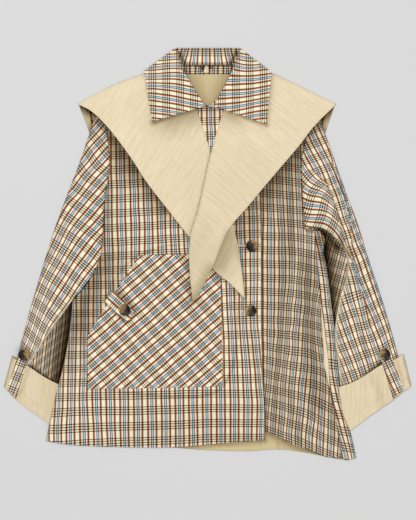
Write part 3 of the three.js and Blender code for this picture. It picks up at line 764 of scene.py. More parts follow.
# %% All the grains
grains = {
    "front_right": ([front_grain(right_front_rows, right_front_wefts)], whole),
    "front_left": ([front_grain(left_front_rows, left_front_wefts)], whole),
    "side_panel_left": ([front_grain(side_panel_rows, side_panel_wefts)], whole),
    "sleeve_top_right": ([sleeve_grain(right_sleeve_stripes)], whole),
    "sleeve_top_left": ([table_grain(left_sleeve_inner, left_sleeve_inner_wefts),
                         sleeve_grain(left_armhole_stripes),
                         table_grain(left_sleeve_outer, left_sleeve_outer_wefts)], armhole_zone),
    "under_right": ([straight_grain(84.0, (48.5, 345), (13.8, 12.0), 45.0)], whole),
    "under_left": ([straight_grain(76.0, (332.5, 262), (13.6, 22.0), -8.0)], whole),
    "patch_pocket": ([straight_grain(40.5, (135.7, 309.3), (23.5, 23.0))], whole),
    "pocket_tab": ([straight_grain(-40.5, (117.5, 301), (23.5, 23.0))], whole),
    "strap_right": ([straight_grain(68.6, (17.3, 375.8), (14.6, 25.4))], whole),
    "strap_left": ([straight_grain(-64.8, (394.2, 375.8), (17.2, 25.4))], whole),
    "collar": ([leaf_grain(collar_right_rows), leaf_grain(collar_left_rows), band_grain(collar_band_rows)],
               collar_zone),
    "back": ([straight_grain(90.0, (206, 400))], whole),
    "collar_stand": ([straight_grain(90.0, (199.2, 70), (23.6, WEFT_REPEAT))], whole),
    "cape_back": ([straight_grain(100.0, (85.6, 109.5)), straight_grain(84.0, (326.8, 116))],
                  lambda x, y: (x > 0).astype(int)),
    "cape_right": ([straight_grain(58.0, (180, 200))], whole),
    "cape_left": ([straight_grain(-40.0, (260, 180))], whole),
    "plain": ([straight_grain(90.0, (208, 200))], whole),
}
print(len(grains), "grains")

# %% [markdown]
# ## Shells
# A panel is triangulated inside its outline, with rings near its edge so that the edge can roll. An edge
# that is a fold goes down to the cloth under it in a quarter of an oval.

# %% Painted shade
# Painted shade: dark paint that stands in for the shade in folds, under edges and between parts. Each row is a line
# or an edge's name, how far its shade reaches in millimetres and how deep it is; rows that reach everywhere darken a
# whole panel a little.
everywhere = 400.0
# Lines along which shade is painted: a fold on the left front, the right armpit and the gap above the left cuff
left_front_fold_shade = from_photo([(289, 150), (284, 200), (284, 260), (280, 340), (275, 380), (275, 440)])
armpit_shade_right = from_photo([(102, 262), (88, 292), (78, 326)])
cuff_gap_shade = from_photo([(364, 376), (373, 369), (381, 362)])
tab_edge, pocket_edge = looped(tab_corners), looped(pocket_corners)
shaded = {
    "sleeve_under_right": [("side_right", 24.0, 1.0), ("underarm_right", 38.0, 1.0),
                           ([(-236, -100), (-248, -190)], 30.0, 0.9), ("sleeve_ridge_right", everywhere, 0.24),
                           ("cuff_top_right", 6.0, 1.0)],
    "sleeve_under_left": [("side_left", 14.0, 1.0), ([(198, 30), (202, -30), (208, -80)], 22.0, 0.99),
                          ("sleeve_ridge_left", everywhere, 0.12), ([(194, 36), (220, 10)], 14.0, 0.95)],
    "front_right": [(edges["cape_outer_right"][:6], 20.0, 0.72), ([(-178, 215), (-122, 144)], 32.0, 0.75),
                    (edges["cape_outer_left"][3:7], 52.0, 0.5), (edges["cape_outer_left"][2:7], 24.0, 0.55),
                    ([(-12, 248), (14, 248)], 14.0, 0.5), (edges["cape_outer_right"][4:], 7.0, 0.4),
                    (edges["cape_inner_right"][:4], 6.0, 0.5), ("side_right", 3.0, 0.4),
                    (edges["side_right"][:3], 30.0, 0.3), ("armhole_right", 3.0, 0.6),
                    ("armhole_right", 20.0, 0.34), ("underarm_right", 4.0, 0.6), ("underarm_right", 30.0, 0.4),
                    (armpit_shade_right, 34.0, 0.55), ([(-90, -310), (90, -310)], 90.0, 0.13),
                    ("armhole_right", everywhere, 0.07), (tab_edge, 3.0, 0.6), (pocket_edge, 2.2, 0.45),
                    ([(58, -90), (74, -160), (92, -240)], 7.0, 0.18)],
    "front_left": [(edges["cape_outer_left"][3:], 40.0, 0.76), ([(106, 125), (156, 184)], 52.0, 0.6),
                   ("cape_inner_left", 7.0, 0.5), ("front_edge_right", 4.5, 0.9), (left_front_fold_shade, 20.0, 0.38),
                   ("armhole_left", 3.0, 0.6), ("side_seam_left", 2.5, 0.5),
                   ([(130, 60), (138, -60), (132, -160)], everywhere, 0.2),
                   ([(169, -14), (169, -60), (176, -180), (186, -260)], 24.0, 0.48),
                   (from_photo([(291, 150), (290, 256)]), 14.0, 0.46),
                   (from_photo([(286, 385), (298, 440)]), 17.0, 0.34),
                   (from_photo([(322, 330), (334, 440)]), 9.0, 0.36), ([(188, 34), (200, 18)], 12.0, 0.5),
                   ([(192, -82), (195.5, -131), (199, -190), (205, -228)], 2.2, 0.85)],
    "side_panel_left": [("side_seam_left", everywhere, 0.13), (from_photo([(318, 234), (322, 262)]), 14.0, 0.5),
                        ("side_left", 3.0, 0.4), ("side_seam_left", 3.0, 0.4)],
    "sleeve_top_right": [("cape_outer_right", 15.0, 0.65), ("cuff_top_right", 3.0, 0.85),
                         ("sleeve_outer_right", 5.0, 0.25), ("armhole_right", 3.0, 0.3)],
    "sleeve_top_left": [("sleeve_ridge_left", 15.0, 0.14), ("cape_outer_left", 15.0, 0.65),
                        ("cuff_top_left", 3.0, 0.8), (cuff_gap_shade, 4.5, 1.0),
                        (from_photo(armhole_crease)[2:], 4.0, 0.3), ("sleeve_outer_left", 4.0, 0.2),
                        (from_photo(left_sleeve_pleat), 1.8, 0.42), (from_photo(left_sleeve_tuck), 3.0, 0.32),
                        ("armhole_left", 3.0, 0.35)],
    "cape_back": [("sleeve_outer_right", 10.0, 0.7), ("sleeve_outer_left", 10.0, 0.7),
                  ("cape_outer_right", 15.0, 0.95), ("cape_outer_left", 15.0, 0.9),
                  ("cape_back_side_right", 40.0, 0.36), ("cape_back_side_left", 40.0, 0.34)],
    "cape_right": [([(-92, 221), (-3, 247)], 6.0, 0.75), ([(-66, 230), (-5, 248)], 24.0, 0.52),
                   ([(38, 18), (52, 0)], 20.0, 0.32), ([(-108, 309), (-94, 222)], 2.5, 0.3),
                   (edges["cape_inner_left"][4:], 9.0, 0.16), ("cape_inner_left", 2.6, 0.55),
                   ([(20, -20), (40, 30)], 22.0, 0.4), ([(-30, 130), (0, 40)], 60.0, 0.06),
                   (edges["cape_outer_left"][:4], 16.0, 0.5)],
    "cape_left": [([(10, 247), (99, 217)], 4.2, 0.65), ([(10, 248), (44, 237)], 20.0, 0.42),
                  ([(-22, -16), (-10, 34)], 30.0, 0.13), ([(99, 218), (108, 307)], 5.0, 0.35),
                  (edges["cape_outer_left"][:3], 16.0, 0.42), (edges["cape_outer_left"][2:4], 9.0, 0.2),
                  ([(-18, -50), (6, 0)], 34.0, 0.14), ([(0, 60), (60, 130)], 60.0, 0.07),
                  ([(-28, -60), (-24, 10)], 12.0, 0.14)],
    "collar": [([(-49, 340), (-43, 326), (-39, 320)], 4.6, 0.85), ([(48, 341), (43, 328), (38, 320)], 5.2, 0.85),
               ([(-44, 318), (44, 318)], 2.4, 0.75), ([(-56, 348), (55, 348)], 6.0, 0.36)],
    "collar_stand": [([(-10, 315), (-7.5, 309)], 4.2, 1.0), ([(3.0, 317), (4.5, 314.5)], 3.4, 1.0),
                     ([(-44, 318), (44, 318)], 3.5, 0.55), ([(-40, 311), (-36, 303)], 9.0, 0.5),
                     ([(42, 311), (38, 303)], 9.0, 0.5), ([(-38, 310), (38, 310)], everywhere, 0.12)],
    "hanger_loop": [([(-5, 317), (0.5, 317)], 5.0, 0.3)],
    "patch_pocket": [(edges["cape_outer_right"][4:], 8.0, 0.5), (edges["cape_inner_left"][5:], 9.0, 0.5),
                     (tab_edge, 3.0, 0.55), (pocket_edge, 1.5, 0.3)],
    "pocket_tab": [(tab_edge, 1.6, 0.3)],
    "back_lining": [([(-39, 304), (-5, 248), (10, 248), (39, 304)], 22.0, 0.4), ("hem_right", 6.0, 0.6),
                    ("hem_left", 9.0, 0.62), (from_photo([(277, 438), (279, 452)]), 3.0, 0.3),
                    ("hem_back", everywhere, 0.07)],
    "cuff_right": [(from_photo([(13.5, 356.0), (18.0, 358.2)]), 2.6, 0.95), ("cuff_top_right", everywhere, 0.1),
                   ([(-236, -232), (-240, -314)], 46.0, 0.26), (strap_corners["right"], 3.0, 0.3)],
    "cuff_left": [("cuff_top_left", everywhere, 0.07), ([(213, -230), (228, -306)], 20.0, 0.08),
                  (strap_corners["left"], 3.0, 0.3), ([(278, -210), (300, -262)], 12.0, 0.18)],
    "strap_right": [([(-305, -168), (-328, -245)], 2.0, 0.2), ([(-300, -172), (-325, -248)], 3.0, 0.55)],
    "strap_left": [([(290, -168), (315, -247)], 3.0, 0.55)],
}

# %% Painted highlights on folds and edges
# Painted highlights: pale cream mixed into the colour where a fold or an edge would catch the light. Each row is a
# line or an edge, how wide its pale line is and how strong
lit = {
    "sleeve_top_left": [(edges["sleeve_ridge_left"][4:], 3.0, 0.75)],
    "sleeve_top_right": [("sleeve_ridge_right", 2.6, 0.7)],
    "sleeve_under_right": [([(-250, -224), (-232, -238)], 5.0, 0.4)],
    "side_panel_left": [([(198, 20), (205, -49), (213, -110)], 2.5, 0.35)],
    "front_right": [("side_right", 2.4, 0.35), ("front_edge_right", 2.0, 0.3)],
    "cape_left": [("cape_outer_left", 1.8, 0.5)],
    "cape_right": [("cape_outer_right", 1.8, 0.5)],
    "cape_back": [("cape_back_side_right", 1.6, 0.3), ("cape_back_side_left", 1.6, 0.3)],
}

# %% Building one sheet of cloth
EDGE_RINGS = (0.6, 1.6, 3.0, 5.0)
RING_KEEP, INNER_GAP = 0.85, 0.6
EDGE_DROP, EDGE_REACH = 0.5, 2.4
ROW_SHARE = 0.866
FLOOR_AIR = 0.02


def sheet_places(outline, spacing):
    """Places for a panel's mesh: its outline, rings beside it and even triangles inside."""
    places = [outline]
    for distance in EDGE_RINGS:
        ring = inside_of(outline, distance)
        places.append(ring[depth_inside(outline, ring[:, 0], ring[:, 1]) > RING_KEEP * distance])
    low, high = outline.min(0), outline.max(0)
    rows = np.arange(low[1], high[1], spacing * ROW_SHARE)
    columns = np.arange(low[0], high[0], spacing)
    x = np.concatenate([columns + (0.5 * spacing if k % 2 else 0.0) for k in range(len(rows))])
    y = np.repeat(rows, len(columns))
    inner = depth_inside(outline, x, y) > EDGE_RINGS[-1] + INNER_GAP * spacing
    places.append(np.column_stack([x[inner], y[inner]]))
    return np.vstack(places)


def sheet_mesh(name, spacing, folded):
    """Places, heights and triangles of one laid sheet."""
    layer = pile[name]
    outline = layer["outline"]
    places = sheet_places(outline, spacing)
    border = [list(range(len(outline)))]
    corners, _, faces, *_ = delaunay_2d_cdt([Vector(p) for p in places], [], border, 1, 1e-4)
    flat = np.array([tuple(c) for c in corners])
    x, y = flat[:, 0], flat[:, 1]
    top = sample(layer["top"], x, y)
    edge = line_distance(outline, x, y, closed=True)
    top = top - EDGE_DROP * np.clip(1.0 - edge / EDGE_REACH, 0.0, 1.0) ** 2
    for line, foot, radius in folded:
        near = np.clip(line_distance(smooth_curve(line), x, y) / radius, 0.0, 1.0)
        top = foot + (top - foot) * np.sqrt(np.maximum(1e-4, 1.0 - (1.0 - near) ** 2))
    top = np.maximum(top, layer["thick"] + FLOOR_AIR)
    return flat, top, [tuple(f) for f in faces if len(f) == 3]


def painted(rows, x, y):
    """How strongly a place is painted, from 0 to 1, by its distance to the nearest of some lines."""
    strength = np.zeros(len(x))
    for line, reach, most in rows:
        stations = edges[line] if isinstance(line, str) else line
        near = line_distance(smooth_curve(stations, LINE_STEP), x, y) / reach
        strength = np.maximum(strength, most * np.exp(-near ** 1.5))
    return strength


def cloth_piece(name, sheets, materials):
    """One object from one or more laid sheets. Each sheet is a dictionary of how it is built."""
    vertices, faces, maps, kinds, painted_shade_factors, painted_highlight_levels = [], [], [], [], [], []
    for sheet in sheets:
        flat, top, triangles = sheet_mesh(sheet["layer"], sheet["spacing"], sheet.get("folded", ()))
        start = len(vertices)
        vertices += [((p[0] + SHIFT[0]) * MM, (p[1] + SHIFT[1]) * MM, z * MM) for p, z in zip(flat, top)]
        faces += [tuple(start + k for k in f) for f in triangles]
        corners = np.array(triangles)
        middle = flat[corners].mean(axis=1)
        fields, zone_of = grains[sheet["grain"]]
        zones = zone_of(middle[:, 0], middle[:, 1])
        counts = np.array([np.column_stack(field(flat[:, 0], flat[:, 1])) for field in fields])
        maps.append(counts[zones[:, None], corners].reshape(-1, 2) * [WARP_REPEAT * MM, WEFT_REPEAT * MM])
        # Painted shade and painted highlight for each point: depth is 1 where no shade is painted and lower where it
        # is darker
        painted_shade_factors.append(1.0 - painted(shaded.get(sheet["layer"], ()), flat[:, 0], flat[:, 1]))
        painted_highlight_levels.append(painted(lit.get(sheet["layer"], ()), flat[:, 0], flat[:, 1]))
        part = sheet.get("part", lambda x, y: np.zeros(len(x), dtype=int))
        kinds.append(part(middle[:, 0], middle[:, 1]))
    mesh = bpy.data.meshes.new(name)
    mesh.from_pydata(vertices, [], faces)
    mesh.update()
    mesh.uv_layers.new(name="cloth").data.foreach_set("uv", np.vstack(maps).ravel())
    # The painted shade (depth) and painted highlight (lit) go to the material as point attributes
    mesh.attributes.new("depth", "FLOAT", "POINT").data.foreach_set("value", np.concatenate(painted_shade_factors))
    mesh.attributes.new("lit", "FLOAT", "POINT").data.foreach_set("value", np.concatenate(painted_highlight_levels))
    for material in materials:
        mesh.materials.append(material)
    mesh.polygons.foreach_set("material_index", np.concatenate(kinds))
    mesh.polygons.foreach_set("use_smooth", [True] * len(mesh.polygons))
    piece = bpy.data.objects.new(f"{name}_cloth", mesh)
    scene.collection.objects.link(piece)
    shell = piece.modifiers.new("cloth", "SOLIDIFY")
    shell.thickness = pile[sheets[0]["layer"]]["thick"] * MM
    shell.offset = -1.0
    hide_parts(name)
    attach(piece, "root")
    return piece


# %% [markdown]
# ## Materials
# Cloth colours are given as the maker sees them, in sRGB, and one function turns them into light.

# %% Colour and node helpers
def light(code):
    """An sRGB colour code as linear light."""
    channels = [int(code[k:k + 2], 16) / 255.0 for k in (0, 2, 4)]
    return tuple(c / 12.92 if c <= 0.04045 else ((c + 0.055) / 1.055) ** 2.4 for c in channels) + (1.0,)


def add_node(tree, kind, links=None, **settings):
    """Adds a node. Links are socket name to value or to another node's socket."""
    node = tree.nodes.new(kind)
    for key, value in settings.items():
        setattr(node, key, value)
    for key, value in (links or {}).items():
        if isinstance(value, bpy.types.NodeSocket):
            tree.links.new(value, node.inputs[key])
        else:
            node.inputs[key].default_value = value
    return node


def new_material(name):
    material = bpy.data.materials.new(name)
    material.use_nodes = True
    tree = material.node_tree
    return material, tree, tree.nodes["Principled BSDF"]


def ramp(tree, factor, stops):
    """A colour chart over a factor, from rows of place and colour."""
    node = add_node(tree, "ShaderNodeValToRGB", {"Fac": factor})
    elements = node.color_ramp.elements
    while len(elements) < len(stops):
        elements.new(0.5)
    for element, (position, color) in zip(elements, stops):
        element.position = position
        element.color = color
    return node.outputs["Color"]


def maths(tree, operation, a, b=0.0):
    return add_node(tree, "ShaderNodeMath", {0: a, 1: b}, operation=operation).outputs[0]


def mix(tree, factor, a, b, blend="MIX"):
    node = add_node(tree, "ShaderNodeMix", data_type="RGBA", blend_type=blend)
    for socket, value in zip((node.inputs["Factor"], node.inputs[6], node.inputs[7]), (factor, a, b)):
        if isinstance(value, bpy.types.NodeSocket):
            tree.links.new(value, socket)
        else:
            socket.default_value = value
    return node.outputs[2]


# %% [markdown]
# One half of the warp repeat is charted, from the middle of a blue stripe to the middle of the wide
# cream one, since the other half mirrors it. The weft repeat has four thin dark lines, two in each half.

# %% The charted check
BLUE, NAVY, PALE, PEACH, RUST, CREAM = "BEDBED", "2C303B", "FFF6E4", "F3D2AA", "964E28", "FFFBDE"
warp_chart = [(0.0, BLUE), (0.040, BLUE), (0.052, NAVY), (0.094, NAVY), (0.110, PALE), (0.165, PALE), (0.205, PEACH),
              (0.230, PEACH), (0.245, RUST), (0.361, RUST), (0.378, CREAM), (0.5, CREAM)]
WEFT_LINE, WEFT_GROUND, WEFT_PLAIN = "110B08", "FAF7F0", "FFFFFF"
weft_chart = [(0.0, WEFT_PLAIN), (0.233, WEFT_PLAIN), (0.241, WEFT_LINE), (0.281, WEFT_LINE), (0.289, WEFT_GROUND),
              (0.390, WEFT_GROUND), (0.398, WEFT_LINE), (0.438, WEFT_LINE), (0.446, WEFT_GROUND), (0.5, WEFT_GROUND)]


def mirrored(tree, value):
    """Place inside a repeat, folded at its middle, from 0 at the ends to 0.5 in the middle."""
    inside = maths(tree, "FRACT", value)
    return maths(tree, "SUBTRACT", 0.5, maths(tree, "ABSOLUTE", maths(tree, "SUBTRACT", inside, 0.5)))


# Painted shade is warm: red, green and blue are each darkened by the shade factor to their own power
SHADE_WARMTH = (1.0, 1.1, 1.3)
BUMP = 0.25


def cloth_surface(tree, shader, color, uv, thread, roughness):
    """Uneven threads, a soft bump and a low sheen over a colour. Painted shade darkens the colour, warmer as
    it deepens, and takes away shine and sheen; a painted highlight mixes in pale cream."""
    slub = add_node(tree, "ShaderNodeTexNoise", {"Vector": uv, "Scale": 1.0, "Detail": 3.0}).outputs["Fac"]
    color = mix(tree, thread, color, ramp(tree, slub, [(0.3, light("8A8478")), (0.7, light("FFFFFF"))]), "MULTIPLY")
    # Painted highlight: the lit attribute mixes a pale cream into the colour along folds and edges
    painted_highlight_levels = add_node(tree, "ShaderNodeAttribute", attribute_name="lit", attribute_type="GEOMETRY").outputs["Fac"]
    color = mix(tree, painted_highlight_levels, color, light("F8ECCB"))
    # Painted shade: the depth attribute, 1 where none is painted, darkens the colour warmly and takes away shine and
    # sheen
    painted_shade_factor = add_node(tree, "ShaderNodeAttribute", attribute_name="depth", attribute_type="GEOMETRY").outputs["Fac"]
    warm = [maths(tree, "POWER", painted_shade_factor, warmth) for warmth in SHADE_WARMTH]
    color = mix(tree, 1.0, color, add_node(tree, "ShaderNodeCombineColor", dict(enumerate(warm))).outputs[0],
                "MULTIPLY")
    tree.links.new(color, shader.inputs["Base Color"])
    shader.inputs["Roughness"].default_value = roughness
    tree.links.new(maths(tree, "MULTIPLY", painted_shade_factor, 0.2), shader.inputs["Specular IOR Level"])
    tree.links.new(maths(tree, "MULTIPLY", painted_shade_factor, 0.15), shader.inputs["Sheen Weight"])
    shader.inputs["Sheen Roughness"].default_value = 0.5
    bump = add_node(tree, "ShaderNodeBump", {"Strength": BUMP, "Distance": 0.4 * MM, "Height": slub})
    tree.links.new(bump.outputs["Normal"], shader.inputs["Normal"])


# How many clouds or threads a noise has to the metre, across the thread and along it. Threads are drawn
# 1.1 to 1.4 mm wide, coarser than real ones, which would be too fine to show.
CHECK_THREADS, PLAIN_THREADS, STREAKS, WANDER = (900.0, 300.0), (700.0, 60.0), (240.0, 14.0), (18.0, 18.0)
WANDER_REACH = 2.2 * MM


def stretched(tree, uv, across, along):
    """A cloth map in metres, scaled so that a noise over it is drawn out along the thread."""
    return add_node(tree, "ShaderNodeMapping", {"Vector": uv, "Scale": (across, along, 1.0)}).outputs["Vector"]


def check_material():
    """Woven cotton check: matt, with stripes that wander a little as yarns do in a loose weave."""
    material, tree, shader = new_material("check_cloth")
    uv = add_node(tree, "ShaderNodeUVMap", uv_map="cloth").outputs["UV"]
    wander = add_node(tree, "ShaderNodeTexNoise", {"Vector": stretched(tree, uv, *WANDER), "Scale": 1.0,
                                                   "Detail": 1.0}).outputs["Color"]
    shift = add_node(tree, "ShaderNodeVectorMath", {0: wander, 1: (0.5, 0.5, 0.5)}, operation="SUBTRACT").outputs[0]
    shift = add_node(tree, "ShaderNodeVectorMath", {0: shift, 1: (WANDER_REACH, WANDER_REACH, 0.0)},
                     operation="MULTIPLY").outputs[0]
    place = add_node(tree, "ShaderNodeVectorMath", {0: uv, 1: shift}, operation="ADD").outputs[0]
    parts = add_node(tree, "ShaderNodeSeparateXYZ", {"Vector": place})
    across = mirrored(tree, maths(tree, "DIVIDE", parts.outputs["X"], WARP_REPEAT * MM))
    along = mirrored(tree, maths(tree, "ADD", maths(tree, "DIVIDE", parts.outputs["Y"], WEFT_REPEAT * MM), 0.5))
    warp = ramp(tree, across, [(p, light(c)) for p, c in warp_chart])
    weft = ramp(tree, along, [(p, light(c)) for p, c in weft_chart])
    color = mix(tree, 1.0, warp, weft, "MULTIPLY")
    cloth_surface(tree, shader, color, stretched(tree, uv, *CHECK_THREADS), thread=0.25, roughness=0.9)
    return material


def plain_material(name, code, thread, roughness):
    """Plain woven cotton: one matt colour with faint streaks where the yarn is uneven. The lining's weave
    is closer, so it is smoother and shines a little more."""
    material, tree, shader = new_material(name)
    uv = add_node(tree, "ShaderNodeUVMap", uv_map="cloth").outputs["UV"]
    cloud = add_node(tree, "ShaderNodeTexNoise", {"Vector": stretched(tree, uv, *STREAKS), "Scale": 1.0,
                                                  "Detail": 3.0}).outputs["Fac"]
    color = mix(tree, 1.0, light(code), ramp(tree, cloud, [(0.32, light("F3EFE5")), (0.68, light("FEFDFB"))]),
                "MULTIPLY")
    cloth_surface(tree, shader, color, stretched(tree, uv, *PLAIN_THREADS), thread, roughness)
    return material


check = check_material()
beige = plain_material("beige_cloth", "F4E5C6", thread=0.16, roughness=0.9)
lining = plain_material("lining_cloth", "E0CFA5", thread=0.12, roughness=0.7)
print("cloth materials:", check.name, beige.name, lining.name)

# %% [markdown]
# ## Dressing the model
# Each row names the panel, its grain, its material, the edges that are folds and the mesh's spacing. A
# fold has the height that its edge goes down to and the radius in which it turns.

# %% Panels
FLOOR, SLEEVE_FOOT = 1.35, 1.9
CAPE_FACING = 8.0


def facing_part(x, y):
    """The cape's back shows its beige facing along the sides and the check inside them."""
    sides = [edges["cape_back_side_right"], edges["cape_back_side_left"], edges["cape_back_ridge"]]
    near = np.min([line_distance(smooth_curve(side), x, y) for side in sides], axis=0)
    return (near > CAPE_FACING).astype(int)


panels = [
    ("collar_back", "plain", check, (), 8.0),
    ("sleeve_under_right", "under_right", check, (), 5.0),
    ("sleeve_under_left", "under_left", check, (), 5.0),
    ("sleeve_top_right", "sleeve_top_right", check,
     [(edges["sleeve_outer_right"], FLOOR, 5.5), (edges["sleeve_ridge_right"], SLEEVE_FOOT, 9.0)], 4.0),
    ("sleeve_top_left", "sleeve_top_left", check,
     [(edges["sleeve_outer_left"], FLOOR, 5.5), (edges["sleeve_ridge_left"], SLEEVE_FOOT, 9.0)], 4.0),
    ("back", "back", check, (), 8.0),
    ("back_lining", "plain", lining, (), 6.0),
    ("front_left", "front_left", check, (), 4.0),
    ("side_panel_left", "side_panel_left", check, [(edges["side_left"], 1.5, 6.0)], 4.0),
    ("front_right", "front_right", check,
     [(edges["side_right"], 1.5, 6.0), (edges["underarm_right"], 2.5, 6.0)], 4.0),
    ("side_pocket_facing_left", "plain", beige, (), 3.0),
    ("patch_pocket", "patch_pocket", check, (), 4.0),
    ("pocket_tab", "pocket_tab", check, (), 3.0),
    ("cape_right", "cape_right", beige, [(edges["cape_ridge_right"], FLOOR, 5.5)], 4.0),
    ("cape_left", "cape_left", beige, [(edges["cape_ridge_left"], FLOOR, 5.5)], 4.0),
    ("collar_stand", "collar_stand", check, (), 3.0),
    ("hanger_loop", "plain", beige, (), 1.5),
    ("collar", "collar", check,
     [([(-108, 309), (-56, 348), (55, 348), (108, 307)], FLOOR, 5.0)], 3.0),
    ("strap_right", "strap_right", check, (), 2.5),
    ("strap_left", "strap_left", check, (), 2.5),
]


# Each panel becomes one cloth piece
for name, grain, material, folded, spacing in panels:
    sheet = {"layer": name, "grain": grain, "folded": folded, "spacing": spacing}
    cloth_piece(name, [sheet], [material])
cloth_piece("cape_back", [{"layer": "cape_back", "grain": "cape_back", "spacing": 3.5,
                                                 "part": facing_part}], [beige, check])

# %% Cuffs are rings, so each is an upper and an under sheet
for hand in HANDS:
    top_edge, mouth = edges[f"cuff_top_{hand}"], edges[f"cuff_mouth_{hand}"]
    ends = [([top_edge[0], mouth[-1]], FLOOR, 5.0), ([top_edge[-1], mouth[0]], FLOOR, 5.0)]
    name = f"cuff_{hand}"
    cloth_piece(name, [
        {"layer": f"cuff_under_{hand}", "grain": "plain", "spacing": 6.0},
        {"layer": name, "grain": "plain", "folded": ends, "spacing": 4.0},
    ], [beige])

# %% [markdown]
# ## Buttons
# The buttons are polished horn: low dishes with a rounded rim and a small rise in the middle, turned on a
# lathe. Horn is never one colour, so each button is dark on one side and clouds over to tan on the other.
# A ring is its share of the radius and of the height.

# %% The turned shape and the horn
BUTTON_RINGS = [(0.0, 0.70), (0.10, 0.70), (0.17, 0.78), (0.24, 0.74), (0.40, 0.70), (0.56, 0.72), (0.70, 0.80),
                (0.80, 0.92), (0.88, 1.0), (0.94, 0.95), (0.985, 0.78), (1.0, 0.58), (0.985, 0.36), (0.93, 0.14),
                (0.84, 0.0)]
BUTTON_SIDES = 48
TAN_SLOPE = 0.42


# The horn's clouds are 5 mm wide, and CLOUD_SHARE says how far they move the edge between dark and tan
HORN_CLOUDS, CLOUD_SHARE = 190.0, 0.9


def horn_material():
    """Polished horn: a smooth face over brown, black and tan clouds, so it shines softly."""
    material, tree, shader = new_material("polished_horn")
    place = add_node(tree, "ShaderNodeTexCoord").outputs["Object"]
    cloud = add_node(tree, "ShaderNodeTexNoise", {"Vector": place, "Scale": HORN_CLOUDS, "Detail": 3.0,
                                                  "Distortion": 0.8}).outputs["Fac"]
    side = add_node(tree, "ShaderNodeAttribute", attribute_name="tan", attribute_type="GEOMETRY").outputs["Fac"]
    share = maths(tree, "ADD", side, maths(tree, "MULTIPLY", maths(tree, "SUBTRACT", cloud, 0.5), CLOUD_SHARE))
    color = ramp(tree, share, [(0.38, light("0B0907")), (0.52, light("33271A")), (0.66, light("7A6038")),
                               (0.84, light("A88A54"))])
    tree.links.new(color, shader.inputs["Base Color"])
    shader.inputs["Roughness"].default_value = 0.34
    shader.inputs["Specular IOR Level"].default_value = 0.22
    return material


def horn_button(name, tan_heading, tan_share):
    """A button where the plain model has it, tan towards a heading in degrees above the X axis."""
    low, high = (np.array(corner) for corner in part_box(name))
    middle, radius, height = 0.5 * (low + high), 0.5 * (high[0] - low[0]), high[2] - low[2]
    turns = np.arange(BUTTON_SIDES) * 2 * math.pi / BUTTON_SIDES
    vertices = [(middle[0], middle[1], low[2] + BUTTON_RINGS[0][1] * height)]
    for share, level in BUTTON_RINGS[1:]:
        vertices += [(middle[0] + share * radius * math.cos(t), middle[1] + share * radius * math.sin(t),
                      low[2] + level * height) for t in turns]
    faces = [(0, 1 + k, 1 + (k + 1) % BUTTON_SIDES) for k in range(BUTTON_SIDES)]
    last = 1 + (len(BUTTON_RINGS) - 2) * BUTTON_SIDES
    for a in range(1, last, BUTTON_SIDES):
        b = a + BUTTON_SIDES
        faces += [(a + k, b + k, b + (k + 1) % BUTTON_SIDES, a + (k + 1) % BUTTON_SIDES) for k in range(BUTTON_SIDES)]
    faces.append(tuple(last + k for k in reversed(range(BUTTON_SIDES))))
    mesh = bpy.data.meshes.new(name)
    mesh.from_pydata(vertices, [], faces)
    mesh.polygons.foreach_set("use_smooth", [True] * (len(faces) - 1) + [False])
    heading = math.radians(tan_heading)
    toward = [((v[0] - middle[0]) * math.cos(heading) + (v[1] - middle[1]) * math.sin(heading)) / radius
              for v in vertices]
    shares = [tan_share + TAN_SLOPE * t for t in toward]
    mesh.attributes.new("tan", "FLOAT", "POINT").data.foreach_set("value", shares)
    mesh.materials.append(horn)
    piece = bpy.data.objects.new(f"{name}_horn", mesh)
    scene.collection.objects.link(piece)
    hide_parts(name)
    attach(piece, "root")
    return piece


# %% The five buttons
horn = horn_material()
button_sides = [("button_front_upper", 40, 0.5), ("button_front_lower", 165, 0.52), ("button_pocket", 150, 0.55),
                ("button_sleeve_right", 20, 0.56), ("button_sleeve_left", 170, 0.54)]
for name, heading, share in button_sides:
    horn_button(name, heading, share)
print(len(button_sides), "buttons")

# %% [markdown]
# ## Stitches
# Edges are topstitched, and the buttonholes are worked with close thread. A stitch is a small bead of
# thread, laid along a path at even steps by Geometry Nodes, which is quicker than placing each by hand.

# %% A stitch tree
def stitch_tree():
    """Beads of thread at even steps along the edges of a mesh."""
    tree = bpy.data.node_groups.new("stitches", "GeometryNodeTree")
    tree.interface.new_socket("Geometry", in_out="INPUT", socket_type="NodeSocketGeometry")
    for size in ("Step", "Across", "Height", "Along"):
        tree.interface.new_socket(size, in_out="INPUT", socket_type="NodeSocketFloat")
    tree.interface.new_socket("Thread", in_out="INPUT", socket_type="NodeSocketMaterial")
    tree.interface.new_socket("Geometry", in_out="OUTPUT", socket_type="NodeSocketGeometry")
    given = add_node(tree, "NodeGroupInput").outputs
    path = add_node(tree, "GeometryNodeMeshToCurve", {"Mesh": given["Geometry"]})
    path = add_node(tree, "GeometryNodeSetCurveNormal", {"Curve": path.outputs[0]}, mode="Z_UP")
    points = add_node(tree, "GeometryNodeCurveToPoints", {"Curve": path.outputs[0], "Length": given["Step"]},
                      mode="LENGTH").outputs
    bead = add_node(tree, "GeometryNodeMeshUVSphere", {"Segments": 6, "Rings": 4, "Radius": 0.5})
    size = add_node(tree, "ShaderNodeCombineXYZ", {"X": given["Across"], "Y": given["Height"], "Z": given["Along"]})
    laid = add_node(tree, "GeometryNodeInstanceOnPoints",
                    {"Points": points["Points"], "Instance": bead.outputs["Mesh"], "Rotation": points["Rotation"],
                     "Scale": size.outputs[0]})
    real = add_node(tree, "GeometryNodeRealizeInstances", {0: laid.outputs[0]})
    done = add_node(tree, "GeometryNodeSetMaterial", {"Geometry": real.outputs[0], "Material": given["Thread"]})
    add_node(tree, "NodeGroupOutput", {"Geometry": done.outputs[0]})
    return tree


